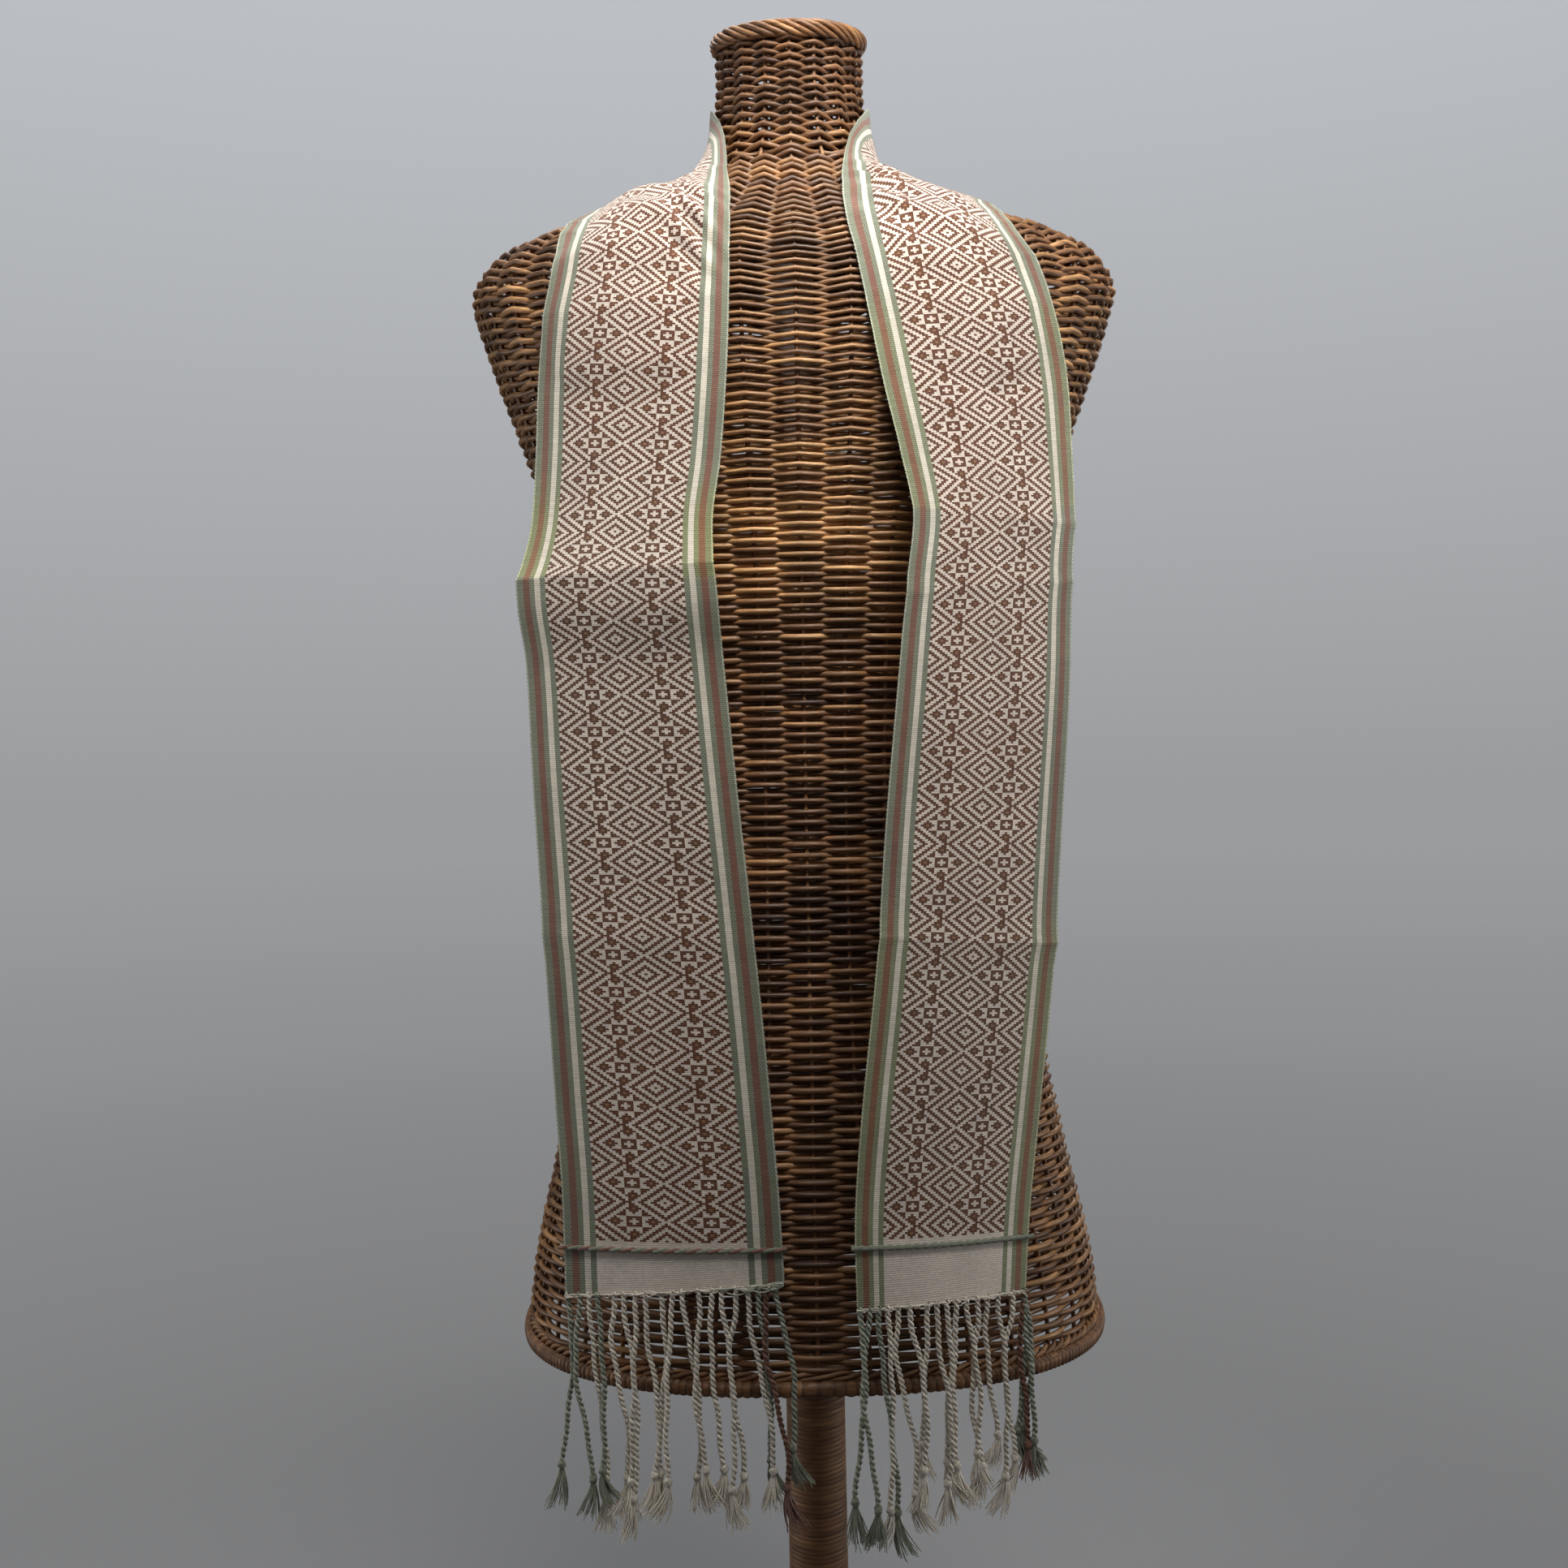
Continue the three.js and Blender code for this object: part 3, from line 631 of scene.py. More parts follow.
class Skin:
    """The torso's skin as a grid of heights by shares of the way round from the front's middle."""

    def __init__(self, low, high):
        self.heights = np.arange(low, high + 0.01, SKIN_STEP)
        self.shares = np.linspace(0, 1, 721)
        angle = np.linspace(0, 2 * np.pi, 2881) - np.pi / 2
        x, y = outline(self.heights[:, None], angle[None, :], 0.0)
        run = np.hypot(np.diff(x, axis=1), np.diff(y, axis=1))
        run = np.concatenate([np.zeros((len(run), 1)), np.cumsum(run, axis=1)], axis=1)
        self.girth = run[:, -1]
        self.x = np.stack([np.interp(self.shares, r / r[-1], row) for r, row in zip(run, x)])
        self.y = np.stack([np.interp(self.shares, r / r[-1], row) for r, row in zip(run, y)])

    def at(self, share, z):
        """Points for arrays of shares and heights, by bilinear look-up."""
        share = np.mod(share, 1.0)
        a = share * (len(self.shares) - 1)
        b = np.clip((z - self.heights[0]) / SKIN_STEP, 0, len(self.heights) - 1.001)
        i, j = a.astype(int), b.astype(int)
        fa, fb = a - i, b - j
        i2 = np.minimum(i + 1, len(self.shares) - 1)
        j2 = np.minimum(j + 1, len(self.heights) - 1)
        mixed = []
        for table in (self.x, self.y):
            low = table[j, i] * (1 - fa) + table[j, i2] * fa
            high = table[j2, i] * (1 - fa) + table[j2, i2] * fa
            mixed.append(low * (1 - fb) + high * fb)
        x, y = mixed
        return xyz(x, y, z + neck_lift(y, z))

    def outward(self, share, z):
        """Directions straight out of the skin."""
        round_step = self.at(share + 0.002, z) - self.at(share - 0.002, z)
        up_step = self.at(share, np.minimum(z + 1.0, self.heights[-1])) - self.at(share, z - 1.0)
        return unit(np.cross(round_step, up_step))

    def inset(self, share, z):
        """Points below the skin by the thickness of the weave, with the way outwards."""
        outward = self.outward(share, z)
        return self.at(share, z) - outward * SKIN_INSET, outward

    def slope_lengths(self, low, high):
        """Way up the skin from low to high for every share, with its heights."""
        keep = (self.heights >= low - 0.01) & (self.heights <= high + 0.01)
        z = self.heights[keep]
        x, y = self.x[keep], self.y[keep]
        step = np.sqrt(np.diff(x, axis=0) ** 2 + np.diff(y, axis=0) ** 2 + np.diff(z)[:, None] ** 2)
        return z, np.concatenate([np.zeros((1, x.shape[1])), np.cumsum(step, axis=0)])


def smooth_noise(rng, rows, steps, knots):
    """Periodic smooth noise from -1 to 1 along each row."""
    values = rng.uniform(-1, 1, (rows, knots))
    place = np.arange(steps) / steps * knots
    i = place.astype(int)
    t = place - i
    t = t * t * (3 - 2 * t)
    return values[:, i % knots] * (1 - t) + values[:, (i + 1) % knots] * t


def cane_colours(tone):
    """Colour for a tone from 0, dark, to 1, honey."""
    tone = np.clip(tone, 0, 1)
    low = blend(CANE_DARK, CANE_BROWN, np.clip(tone * 2, 0, 1))
    high = blend(CANE_BROWN, CANE_HONEY, np.clip(tone * 2 - 1, 0, 1))
    return np.where((tone > 0.5)[..., None], high, low)


def cane_rods(centres, outward, radius, sides, closed, tone):
    """Rods with a tone for each step: points, faces and colours."""
    points, faces = tubes(centres, outward, radius, sides, closed)
    return points, faces, np.repeat(cane_colours(tone).reshape(-1, 3), sides, axis=0)


def stake_share(stake, stakes, spread):
    """Share of the way round for a stake number, wider spaced at the front and the back by spread."""
    turn = stake / stakes
    return turn - spread * np.sin(4 * np.pi * turn) / (4 * np.pi)


def by_height(table, z):
    """Values between the rows of a table of heights and values."""
    return np.interp(z, table[:, 0], table[:, 1])


def front_spread(z):
    """Spread of the body's stakes at each height."""
    return by_height(FRONT_SPREAD, z)


def even_spread(z):
    """No spread at any height."""
    return np.zeros_like(z)


def level_rows(heights):
    """For each height a row that stays at it."""
    return [lambda share, z=z: np.full_like(share, z) for z in heights]


def woven_rows(skin, heights_of_row, stakes, first_row, rng, spread_of):
    """Rods in and out of the stakes. heights_of_row gives each row's height for an array of shares."""
    rows = len(heights_of_row)
    steps = stakes * ROD_STEPS
    stake = np.arange(steps) / ROD_STEPS
    row_number = np.arange(first_row, first_row + rows)
    middle = np.array([h(np.array([0.0]))[0] for h in heights_of_row])
    share = stake_share(stake[None, :], stakes, spread_of(middle)[:, None])
    z = np.stack([h(np.mod(s, 1.0)) for h, s in zip(heights_of_row, share)])
    z = z + by_height(ROD_BOW, z) * (1 - 2 * np.abs(np.sin(np.pi * stake)))[None, :]
    swing = np.cos(np.pi * stake)[None, :] * np.where(row_number % 2, -1, 1)[:, None]
    swing = np.sign(swing) * np.abs(swing) ** SWING_SHARPNESS
    swing = swing * (WEAVE_SWING + SWING_JITTER * smooth_noise(rng, rows, steps, stakes))
    points, outward = skin.inset(share, z)
    spacing = np.linalg.norm(np.gradient(points, axis=0), axis=-1)
    points = points + outward * swing[..., None]
    thick = ROD_FILL * np.clip(spacing, 2.0, 2.9)
    thick = thick * (1 + ROD_THICKNESS_JITTER * smooth_noise(rng, rows, steps, 9))
    thick = thick * (1 + rng.uniform(-ROD_THICKNESS_JITTER, ROD_THICKNESS_JITTER, (rows, 1)))
    points[..., 2] += ROD_HEIGHT_JITTER * smooth_noise(rng, rows, steps, stakes)
    # Tone by height: partly the cane's own colour, partly painted shade round the waist
    tone = 0.5 + by_height(TONE_AND_PAINTED_SHADE_BY_HEIGHT, z)
    # Painted shadow: the cane down the front's middle is made darker where the scarf's bands shade it
    painted_shadow_share = np.exp(-(np.sin(np.pi * share) / (np.pi * FRONT_PAINTED_SHADOW_REACH)) ** 2)
    tone = tone - by_height(FRONT_PAINTED_SHADOW, z) * painted_shadow_share
    tone = tone + rng.uniform(-TONE_BY_ROD, TONE_BY_ROD, (rows, 1))
    tone = tone + TONE_DRIFT * smooth_noise(rng, rows, steps, 7)
    tone = tone + TONE_FLECK * smooth_noise(rng, rows, steps, stakes // 2)
    return cane_rods(points, outward, thick, ROD_SIDES, True, tone)


def stake_tubes(skin, stakes, low, high, rng, spread_of):
    """Upright stakes in the middle of the weave."""
    z = np.linspace(low, high, max(8, int((high - low) / 6)))
    number = np.arange(stakes)[:, None]
    share = stake_share(number, stakes, spread_of(z)[None, :])
    points, outward = skin.inset(share, np.broadcast_to(z, share.shape))
    tone = np.broadcast_to(0.5 + rng.uniform(-0.15, 0.15, (stakes, 1)), (stakes, len(z)))
    return cane_rods(points, outward, STAKE_RADIUS * narrow_ends(stakes, len(z)), 5, False, tone)


def wicker_pieces(material):
    """The woven shell: level rows to the breast, rows that follow the shoulders, then the neck."""
    rng = np.random.default_rng(7)
    skin = Skin(RIM_BOTTOM, NECK_TOP + 5)
    level = [RIM_BOTTOM + RIM_HEIGHT + ROD_RADIUS]
    while level[-1] < LEVEL_ROWS_TOP:
        level.append(level[-1] + by_height(ROW_PITCHES, level[-1]))
    heights, lengths = skin.slope_lengths(level[-1], NECK_BASE)

    def shoulder_row(fraction):
        at_shares = np.array([
            np.interp(fraction * column[-1], column, heights) for column in lengths.T
        ])
        return lambda share: np.interp(share, skin.shares, at_shares)

    rise = np.clip((np.arange(SHOULDER_ROWS) / SHOULDER_ROWS - 0.5) / 0.5, 0, 1)
    steps = np.cumsum(1 + SHOULDER_WIDENING * rise * rise * (3 - 2 * rise))
    shoulder_rows = [shoulder_row(fraction) for fraction in steps / steps[-1]]
    neck = np.arange(NECK_BASE + NECK_PITCH, NECK_TOP - 2.0, NECK_PITCH)
    half = len(level) // 2
    zones = {
        "wicker_hips": (level_rows(level[:half]), BODY_STAKES, 0, front_spread),
        "wicker_waist": (level_rows(level[half:]), BODY_STAKES, half, front_spread),
        "wicker_shoulders": (shoulder_rows, BODY_STAKES, len(level), front_spread),
        "wicker_neck": (level_rows(neck), NECK_STAKES, 0, even_spread),
    }
    pieces = []
    for name, (rows, stakes, first, spread_of) in zones.items():
        woven = woven_rows(skin, rows, stakes, first, rng, spread_of)
        pieces.append(joined_object(name, [woven], material))
    body = stake_tubes(skin, BODY_STAKES, RIM_BOTTOM + 4, NECK_BASE + 2, rng, front_spread)
    upper = stake_tubes(skin, NECK_STAKES, NECK_BASE - 8, NECK_TOP, rng, even_spread)
    pieces.append(joined_object("wicker_stakes", [body, upper], material))
    return pieces


def neck_cap(material):
    """A small woven disc that closes the neck inside its border."""
    rng = np.random.default_rng(11)
    steps = CAP_SPOKES * ROD_STEPS
    turn = np.arange(steps) / steps
    rows = len(CAP_RINGS)
    wave = np.cos(np.pi * turn * CAP_SPOKES)[None, :] * np.where(np.arange(rows) % 2, -1, 1)[:, None]
    x = CAP_RINGS[:, None] * np.cos(2 * np.pi * turn)
    y = CAP_RINGS[:, None] * np.sin(2 * np.pi * turn)
    points = xyz(x, y, CAP_HEIGHT + CAP_SWING * wave + neck_lift(y, NECK_TOP))
    tone = np.broadcast_to(0.45 + rng.uniform(-0.2, 0.2, (rows, 1)), (rows, steps))
    rings = cane_rods(points, UPWARDS, CAP_RING_RADIUS, ROD_SIDES, True, tone)
    reach = np.linspace(1.0, CAP_SPOKE_REACH, 8)
    angle = np.arange(CAP_SPOKES)[:, None] / CAP_SPOKES * 2 * np.pi
    x, y = reach * np.cos(angle), reach * np.sin(angle)
    points = xyz(x, y, CAP_HEIGHT + neck_lift(y, NECK_TOP))
    radius = CAP_SPOKE_RADIUS * narrow_ends(*x.shape)
    spokes = cane_rods(points, UPWARDS, radius, ROD_SIDES, False, np.full(x.shape, 0.4))
    return joined_object("neck_cap", [rings, spokes], material)


def neck_border(material):
    """Pairs of rods laid over each other like a rope round the top of the neck."""
    rng = np.random.default_rng(5)
    steps = BORDER_STEPS
    turn = np.arange(steps) / steps
    angle = 2 * np.pi * turn - np.pi / 2
    outward = way_out(angle)[None]
    parts = []
    for pair in range(3):
        for rod in (-1, 1):
            swing = -2 * np.pi * (turn * BORDER_TURNS + pair / 3 + rod * 0.075)
            x, y = outline(NECK_TOP, angle, -1.4 + BORDER_SWING_OUT * np.cos(swing))
            z = NECK_TOP + 0.8 + BORDER_SWING_UP * np.sin(swing) + neck_lift(y, NECK_TOP)
            z = z + 0.3 * smooth_noise(rng, 1, steps, 20)[0]
            tone = 0.5 + 0.16 * smooth_noise(rng, 1, steps, 12) + rng.uniform(-0.12, 0.12)
            parts.append(cane_rods(xyz(x, y, z)[None], outward, BORDER_ROD_RADIUS, 6, True, tone))
    return joined_object("neck_plait", parts, material)


def rim_binding(material):
    """The lower rim: a hoop bound with split cane under a rope of three rods."""
    rng = np.random.default_rng(3)
    steps = RIM_BINDS * BIND_STEPS
    turn = np.arange(steps) / steps
    angle = 2 * np.pi * turn - np.pi / 2
    bulge = BIND_BULGE * np.abs(np.sin(np.pi * turn * RIM_BINDS))
    rings = []
    for grow, rise in RIM_PROFILE:
        side = 1 if grow > 0 else -1
        x, y = outline(RIM_BOTTOM, angle, grow - 0.4 + bulge * side)
        lift = bulge * (1 if rise > RIM_MIDDLE else -1) * (abs(rise - RIM_MIDDLE) > 2)
        rings.append(xyz(x, y, RIM_BOTTOM + 0.35 + rise + lift))
    grid = np.stack(rings, axis=1)
    faces = quads(steps, len(RIM_PROFILE), closed_rows=True, closed_columns=True)
    per_bind = 0.40 + rng.uniform(-0.16, 0.16, RIM_BINDS)
    tone = np.repeat(per_bind, BIND_STEPS) - 0.34 * (np.arange(steps) % BIND_STEPS == 0)
    parts = [(grid.reshape(-1, 3), faces, np.repeat(cane_colours(tone), len(RIM_PROFILE), axis=0))]
    twist_steps = RIM_TWIST_TURNS * 19
    turn = np.arange(twist_steps) / twist_steps
    angle = 2 * np.pi * turn - np.pi / 2
    for strand in range(3):
        swing = 2 * np.pi * (turn * RIM_TWIST_TURNS + strand / 3)
        x, y = outline(RIM_BOTTOM + RIM_HEIGHT, angle, -1.9 + 1.7 * np.cos(swing))
        centre = xyz(x, y, RIM_BOTTOM + 8.9 + 1.5 * np.sin(swing))[None]
        tone = 0.5 + 0.15 * smooth_noise(rng, 1, twist_steps, 20) + rng.uniform(-0.1, 0.1)
        parts.append(cane_rods(centre, way_out(angle)[None], RIM_TWIST_RADIUS, 5, True, tone))
    return joined_object("rim_binding", parts, material)


# Stand

def turned(name, profile, sides, material, colours=None):
    """A turned body from a profile of radius and height that starts and ends on the axis."""
    profile = np.asarray(profile, dtype=float)
    angle = np.arange(sides) / sides * 2 * np.pi
    radius, height = profile[:, :1], profile[:, 1:]
    points = xyz(radius * np.cos(angle), radius * np.sin(angle), height).reshape(-1, 3)
    faces = quads(len(profile), sides, closed_columns=True, flipped=True)
    tint = None if colours is None else np.repeat(colours, sides, axis=0)
    return mesh_object(name, points, faces, material, tint)


def wound_pole(material):
    """The pole, wound with split cane from the foot to inside the torso."""
    rng = np.random.default_rng(19)
    turns = int((WOUND_TOP - FOOT_HEIGHT) / WRAP_PITCH)
    profile = [(0.02, FOOT_HEIGHT + 0.3)]
    tones = [0.3]
    for turn in range(turns):
        tone = 0.5 + rng.uniform(-0.1, 0.1)
        base = FOOT_HEIGHT + 0.3 + turn * WRAP_PITCH
        for share, inset, shade in WRAP_PROFILE:
            profile.append((POLE_RADIUS - inset, base + share * WRAP_PITCH))
            tones.append(tone - shade)
    last = profile[-1][1] + 0.5
    profile += [(POLE_INNER_RADIUS, last), (POLE_INNER_RADIUS, POLE_TOP), (0.02, POLE_TOP)]
    tones += [0.3, 0.3, 0.3]
    return turned("wound_pole", profile, 36, material, cane_colours(np.array(tones)))


def rim_cross(material):
    """Two bars across the torso's open underside that hold the pole in its middle."""
    spans = []
    for angle, reach in CROSS_BARS:
        along = np.linspace(-reach, reach, CROSS_BAR_STEPS)
        spans.append(xyz(along * np.cos(angle), along * np.sin(angle), RIM_BOTTOM + 12.0))
    shape = (len(CROSS_BARS), CROSS_BAR_STEPS)
    radius = CROSS_BAR_RADIUS * narrow_ends(*shape)
    bars = cane_rods(np.stack(spans), UPWARDS, radius, 10, False, np.full(shape, 0.3))
    return joined_object("rim_cross", [bars], material)


def turned_foot(material):
    """The round foot with a turned edge and a small collar round the pole."""
    profile = [
        (0.02, 0.0), (FOOT_RADIUS - 2.0, 0.0), (FOOT_RADIUS - 0.5, 0.5), (FOOT_RADIUS, 2.0),
        (FOOT_RADIUS, 8.6), (FOOT_RADIUS - 0.5, 9.8), (FOOT_RADIUS - 2.2, 10.4), (FOOT_RADIUS - 2.6, 11.4),
        (FOOT_RADIUS - 4.2, 13.4), (FOOT_RADIUS - 8.0, 15.0), (FOOT_RADIUS - 14.0, 15.9),
        (FOOT_RADIUS - 15.0, 15.5), (FOOT_RADIUS - 16.0, 15.9), (110.0, 16.8), (70.0, 17.6), (42.0, 18.0),
        (36.0, 18.4), (31.0, 19.6), (27.0, 20.0), (0.02, 20.0),
    ]
    return turned("turned_foot", profile, 160, material)


# Scarf surface

def catmull_rom(points, places):
    """Centripetal Catmull-Rom curve through points, at places from 0 to 1."""
    points = np.asarray(points, dtype=float)
    last = len(points) - 1
    spot = np.clip(np.asarray(places, dtype=float) * last, 0, last)
    i = np.minimum(spot.astype(int), last - 1)
    t = (spot - i)[..., None]
    first = 2 * points[0] - points[1]
    final = 2 * points[-1] - points[-2]
    padded = np.concatenate([first[None], points, final[None]])
    p0, p1, p2, p3 = (padded[i + k] for k in range(4))

    def knot(a, b):
        return np.maximum(np.linalg.norm(b - a, axis=-1, keepdims=True) ** 0.5, 1e-4)

    d0, d1, d2 = knot(p0, p1), knot(p1, p2), knot(p2, p3)
    t1 = ((p1 - p0) / d0 - (p2 - p0) / (d0 + d1) + (p2 - p1) / d1) * d1
    t2 = ((p2 - p1) / d1 - (p3 - p1) / (d1 + d2) + (p3 - p2) / d2) * d1
    c2 = -3 * p1 + 3 * p2 - 2 * t1 - t2
    c3 = 2 * p1 - 2 * p2 + t1 + t2
    return p1 + t1 * t + c2 * t ** 2 + c3 * t ** 3


def crown_of(station):
    """The crown, or a place a little in front of the middle where the cloth hangs free."""
    if "crown" in station:
        return station["crown"]
    middle = (np.array(station["outer"], dtype=float) + np.array(station["inner"], dtype=float)) / 2
    middle[1] -= HANGING_CROWN
    return tuple(middle)


def fold_of(station):
    """The fold, or the place on the parabola through the selvedges and the crown."""
    if "fold" in station:
        return station["fold"]
    places = (station["outer"], crown_of(station), station["inner"])
    outer, crown, inner = (np.array(place, dtype=float) for place in places)
    return tuple(-0.125 * outer + 0.75 * crown + 0.375 * inner)


def outside_measure(points):
    """Above 0 outside the torso, 0 on its skin and below 0 inside."""
    x, y, z = points[..., 0], points[..., 1], points[..., 2]
    half, front, back, power = section_columns(z)
    depth = np.where(y < 0, front, back)
    return ((np.abs(x) / half) ** power + (np.abs(y) / depth) ** power) ** (1 / power) - 1


def pushed_clear(points, clearance):
    """Points moved out of the torso until they clear it."""
    points = np.array(points, dtype=float)
    step = 0.5
    for _ in range(8):
        value = outside_measure(points)
        slope = np.stack([
            (outside_measure(points + step * axis) - outside_measure(points - step * axis)) / (2 * step)
            for axis in np.eye(3)
        ], axis=-1)
        steepness = np.linalg.norm(slope, axis=-1)
        distance = value / steepness
        short = np.maximum(clearance - distance, 0)
        points = points + slope / steepness[..., None] * short[..., None]
    return points


LINE_PLACES = (0.0, 0.5, 0.75, 1.0)
LINES = [
    [station["outer"] for station in SCARF_STATIONS],
    [crown_of(station) for station in SCARF_STATIONS],
    [fold_of(station) for station in SCARF_STATIONS],
    [station["inner"] for station in SCARF_STATIONS],
]


def scarf_points(along, across):
    """The scarf's middle surface before creases. along holds a row of places from 0 to 1 for each
    place across, where 0 is the outer and 1 the inner selvedge."""
    u = np.asarray(across, dtype=float)[None, :, None]
    total = 0.0
    for place, line in zip(LINE_PLACES, LINES):
        weight = 1.0
        for other in LINE_PLACES:
            if other != place:
                weight = weight * (u - other) / (place - other)
        total = total + weight * catmull_rom(line, along)
    return total


def crown_run():
    """Places along the crown line with their distances from the left end."""
    fine = np.linspace(0, 1, 6001)
    return run_along(pushed_clear(scarf_points(fine[:, None], [0.5])[:, 0], CLOTH_CLEARANCE)), fine


RUN, PLACES = crown_run()
SCARF_LENGTH = RUN[-1]


def places_at(distance, across):
    """Places for distances from the left end, with the weave's rows tilted a little against that end."""
    distance = np.asarray(distance, dtype=float)[:, None]
    across = np.asarray(across, dtype=float)[None, :]
    grown = np.clip(distance / TWINED_FROM_END["left"], 0, 1)
    faded = np.clip((END_TILT_FADE - distance) / (END_TILT_FADE - 60), 0, 1)
    shifted = distance + END_TILT * (1 - 2 * across) * grown * faded
    return np.interp(shifted, RUN, PLACES)


def from_the_end(end, distance):
    """Distance from the left or the right end, from the distance from the left one."""
    return distance if end == "left" else SCARF_LENGTH - distance


def cloth_lift(distance, across):
    """Height of creases and gathers above the smooth cloth, in millimetres."""
    lift = np.zeros(np.broadcast(distance, across).shape)
    for end, place, slant, height, softness in CREASES:
        from_end = from_the_end(end, distance)
        gap = from_end - place - slant * across
        lift = lift + height * np.exp(-np.abs(gap) / softness) * (0.75 + 0.25 * np.cos(5 * across))
    for end, place, centre, reach, breadth, height, wave, turn in GATHERS:
        from_end = from_the_end(end, distance)
        du = (across - centre) / breadth
        dv = (from_end - place) / reach
        window = np.exp(-(du ** 2) - dv ** 2)
        angle = math.radians(turn)
        run = (from_end - place) * math.cos(angle) + (across - centre) * SCARF_WIDTH * math.sin(angle)
        lift = lift + height * window * (0.5 + 0.5 * np.cos(2 * np.pi * run / wave))
    return lift


def surface_normals(grid):
    """Directions straight out of a surface given as a grid of points."""
    up = np.gradient(grid, axis=0)
    side = np.gradient(grid, axis=1)
    return unit(np.cross(side, up))


def cloth_grid(rows, columns):
    """Points of the draped cloth, its normals, and the distance from the left end in millimetres."""
    across = np.asarray(columns, dtype=float)
    distance = np.linspace(0, SCARF_LENGTH, rows + 1)[:, None]
    grid = pushed_clear(scarf_points(places_at(distance[:, 0], across), across), CLOTH_CLEARANCE)
    normals = surface_normals(grid)
    grid = grid + normals * cloth_lift(distance, across[None, :])[..., None]
    return grid, surface_normals(grid), distance


def column_edges():
    """Edges of the cloth's columns as shares of its width, and what each column is."""
    border = (1 - PATTERN_SHARE) / 2
    stripes = [(share * border, kind) for share, kind in BORDER_STRIPES]
    cells = [(PATTERN_SHARE / PATTERN_CELLS, cell) for cell in range(PATTERN_CELLS)]
    columns = stripes + cells + stripes[::-1]
    edges = np.cumsum([0.0] + [width for width, _ in columns])
    return edges / edges[-1], [kind for _, kind in columns]


def chart(cell, row):
    """What shows at a cell across and a row along: ground, brown or tan."""
    x = cell + FIRST_CELL
    k = (row + REPEAT_ROWS // 2) % REPEAT_ROWS - REPEAT_ROWS // 2
    k_star = row % REPEAT_ROWS - REPEAT_ROWS // 2
    for centre in STAR_CELLS:
        if abs(k_star) + abs(x - centre) < len(STAR_CHART):
            mark = STAR_CHART[abs(k_star)][abs(x - centre)]
            return {"#": "brown", "o": "tan", ".": "ground"}[mark]
    ring = min(abs(k) + abs(x - centre) for centre in DIAMOND_CELLS)
    return "brown" if ring in DIAMOND_RINGS else "ground"


def pattern_table():
    """The chart's repeat: one name for each row of the repeat and each cell."""
    return [[chart(cell, row) for cell in range(PATTERN_CELLS)] for row in range(REPEAT_ROWS)]


def yellowed(distance):
    """Share of yellowing at distances from the left end."""
    share = np.zeros_like(distance)
    for end, first, last, strength in YELLOWED:
        from_end = from_the_end(end, distance)
        fade = np.clip(np.minimum((from_end - first) / 3.0, (last - from_end) / 25.0), 0, 1)
        share = np.maximum(share, strength * fade)
    return share


def scarf_colours(rows, kinds, pitch, rng):
    """Colour of each cell of the cloth, with alpha marking the speckled green stripes."""
    table = pattern_table()
    colours = np.zeros((rows, len(kinds), 4))
    relief = np.zeros((rows, len(kinds)))
    drift = smooth_noise(rng, 1, rows, 13)[0]
    yellow = yellowed(SCARF_LENGTH * (np.arange(rows) + 0.5) / rows)
    fine = rng.uniform(-1, 1, rows)
    for row in range(rows):
        from_left = (row + 0.5) * pitch
        from_right = SCARF_LENGTH - from_left
        plain = from_left < PLAIN_END["left"] or from_right < PLAIN_END["right"]
        repeat = int(math.floor((from_left - PLAIN_END["left"]) / ROW_PITCH)) % REPEAT_ROWS
        for column, kind in enumerate(kinds):
            if isinstance(kind, int):
                name = "ground" if plain else table[repeat][kind]
            else:
                name = kind
            colour = np.array(COLOURS[name])
            if name in ("brown", "tan"):
                relief[row, column] = 1.0
                colour = colour * (1 + ROW_JITTER * fine[row]) * (1 + PATTERN_DRIFT * drift[row])
            if name in ("green", "selvedge", "rust"):
                colour = colour * (1 + (YELLOW_TINT - 1) * yellow[row])
            colours[row, column, :3] = colour
            colours[row, column, 3] = 1.0 if name in ("green", "selvedge") else 0.0
    colours[..., :3] *= 1 + CELL_JITTER * rng.uniform(-1, 1, colours.shape[:2])[..., None]
    return colours, relief


def scarf_piece(material):
    """The cloth, with raised pattern floats, scalloped selvedges and its thread coordinates in metres."""
    rng = np.random.default_rng(23)
    edges, kinds = column_edges()
    rows = int(round(SCARF_LENGTH / ROW_PITCH))
    grid, normals, distance = cloth_grid(rows, edges)
    colours, relief = scarf_colours(rows, kinds, SCARF_LENGTH / rows, rng)
    raised = np.zeros(grid.shape[:2])
    for dr in (0, 1):
        for dc in (0, 1):
            raised[dr:dr + rows, dc:dc + len(kinds)] += relief / 4
    grid = grid + normals * (raised * FLOAT_RELIEF)[..., None]
    outward = unit(grid[:, 0] - grid[:, 2])
    inward = unit(grid[:, -1] - grid[:, -3])
    scallop = SELVEDGE_SCALLOP * np.where(np.arange(rows + 1) % 2, 1, -1)[:, None]
    grid[:, 0] += outward * scallop
    grid[:, -1] += inward * scallop
    faces = quads(rows + 1, len(edges), flipped=True)
    piece = mesh_object("scarf_cloth", grid.reshape(-1, 3), faces, material, colours.reshape(-1, 4))
    layer = piece.data.uv_layers.new(name="thread")
    u = np.broadcast_to(edges[None, :] * SCARF_WIDTH, (rows + 1, len(edges))).reshape(-1)
    v = np.broadcast_to(distance, (rows + 1, len(edges))).reshape(-1)
    corners = np.stack([u[faces.ravel()], v[faces.ravel()]], axis=-1) * MM
    layer.data.foreach_set("uv", corners.astype(np.float32).ravel())
    return piece


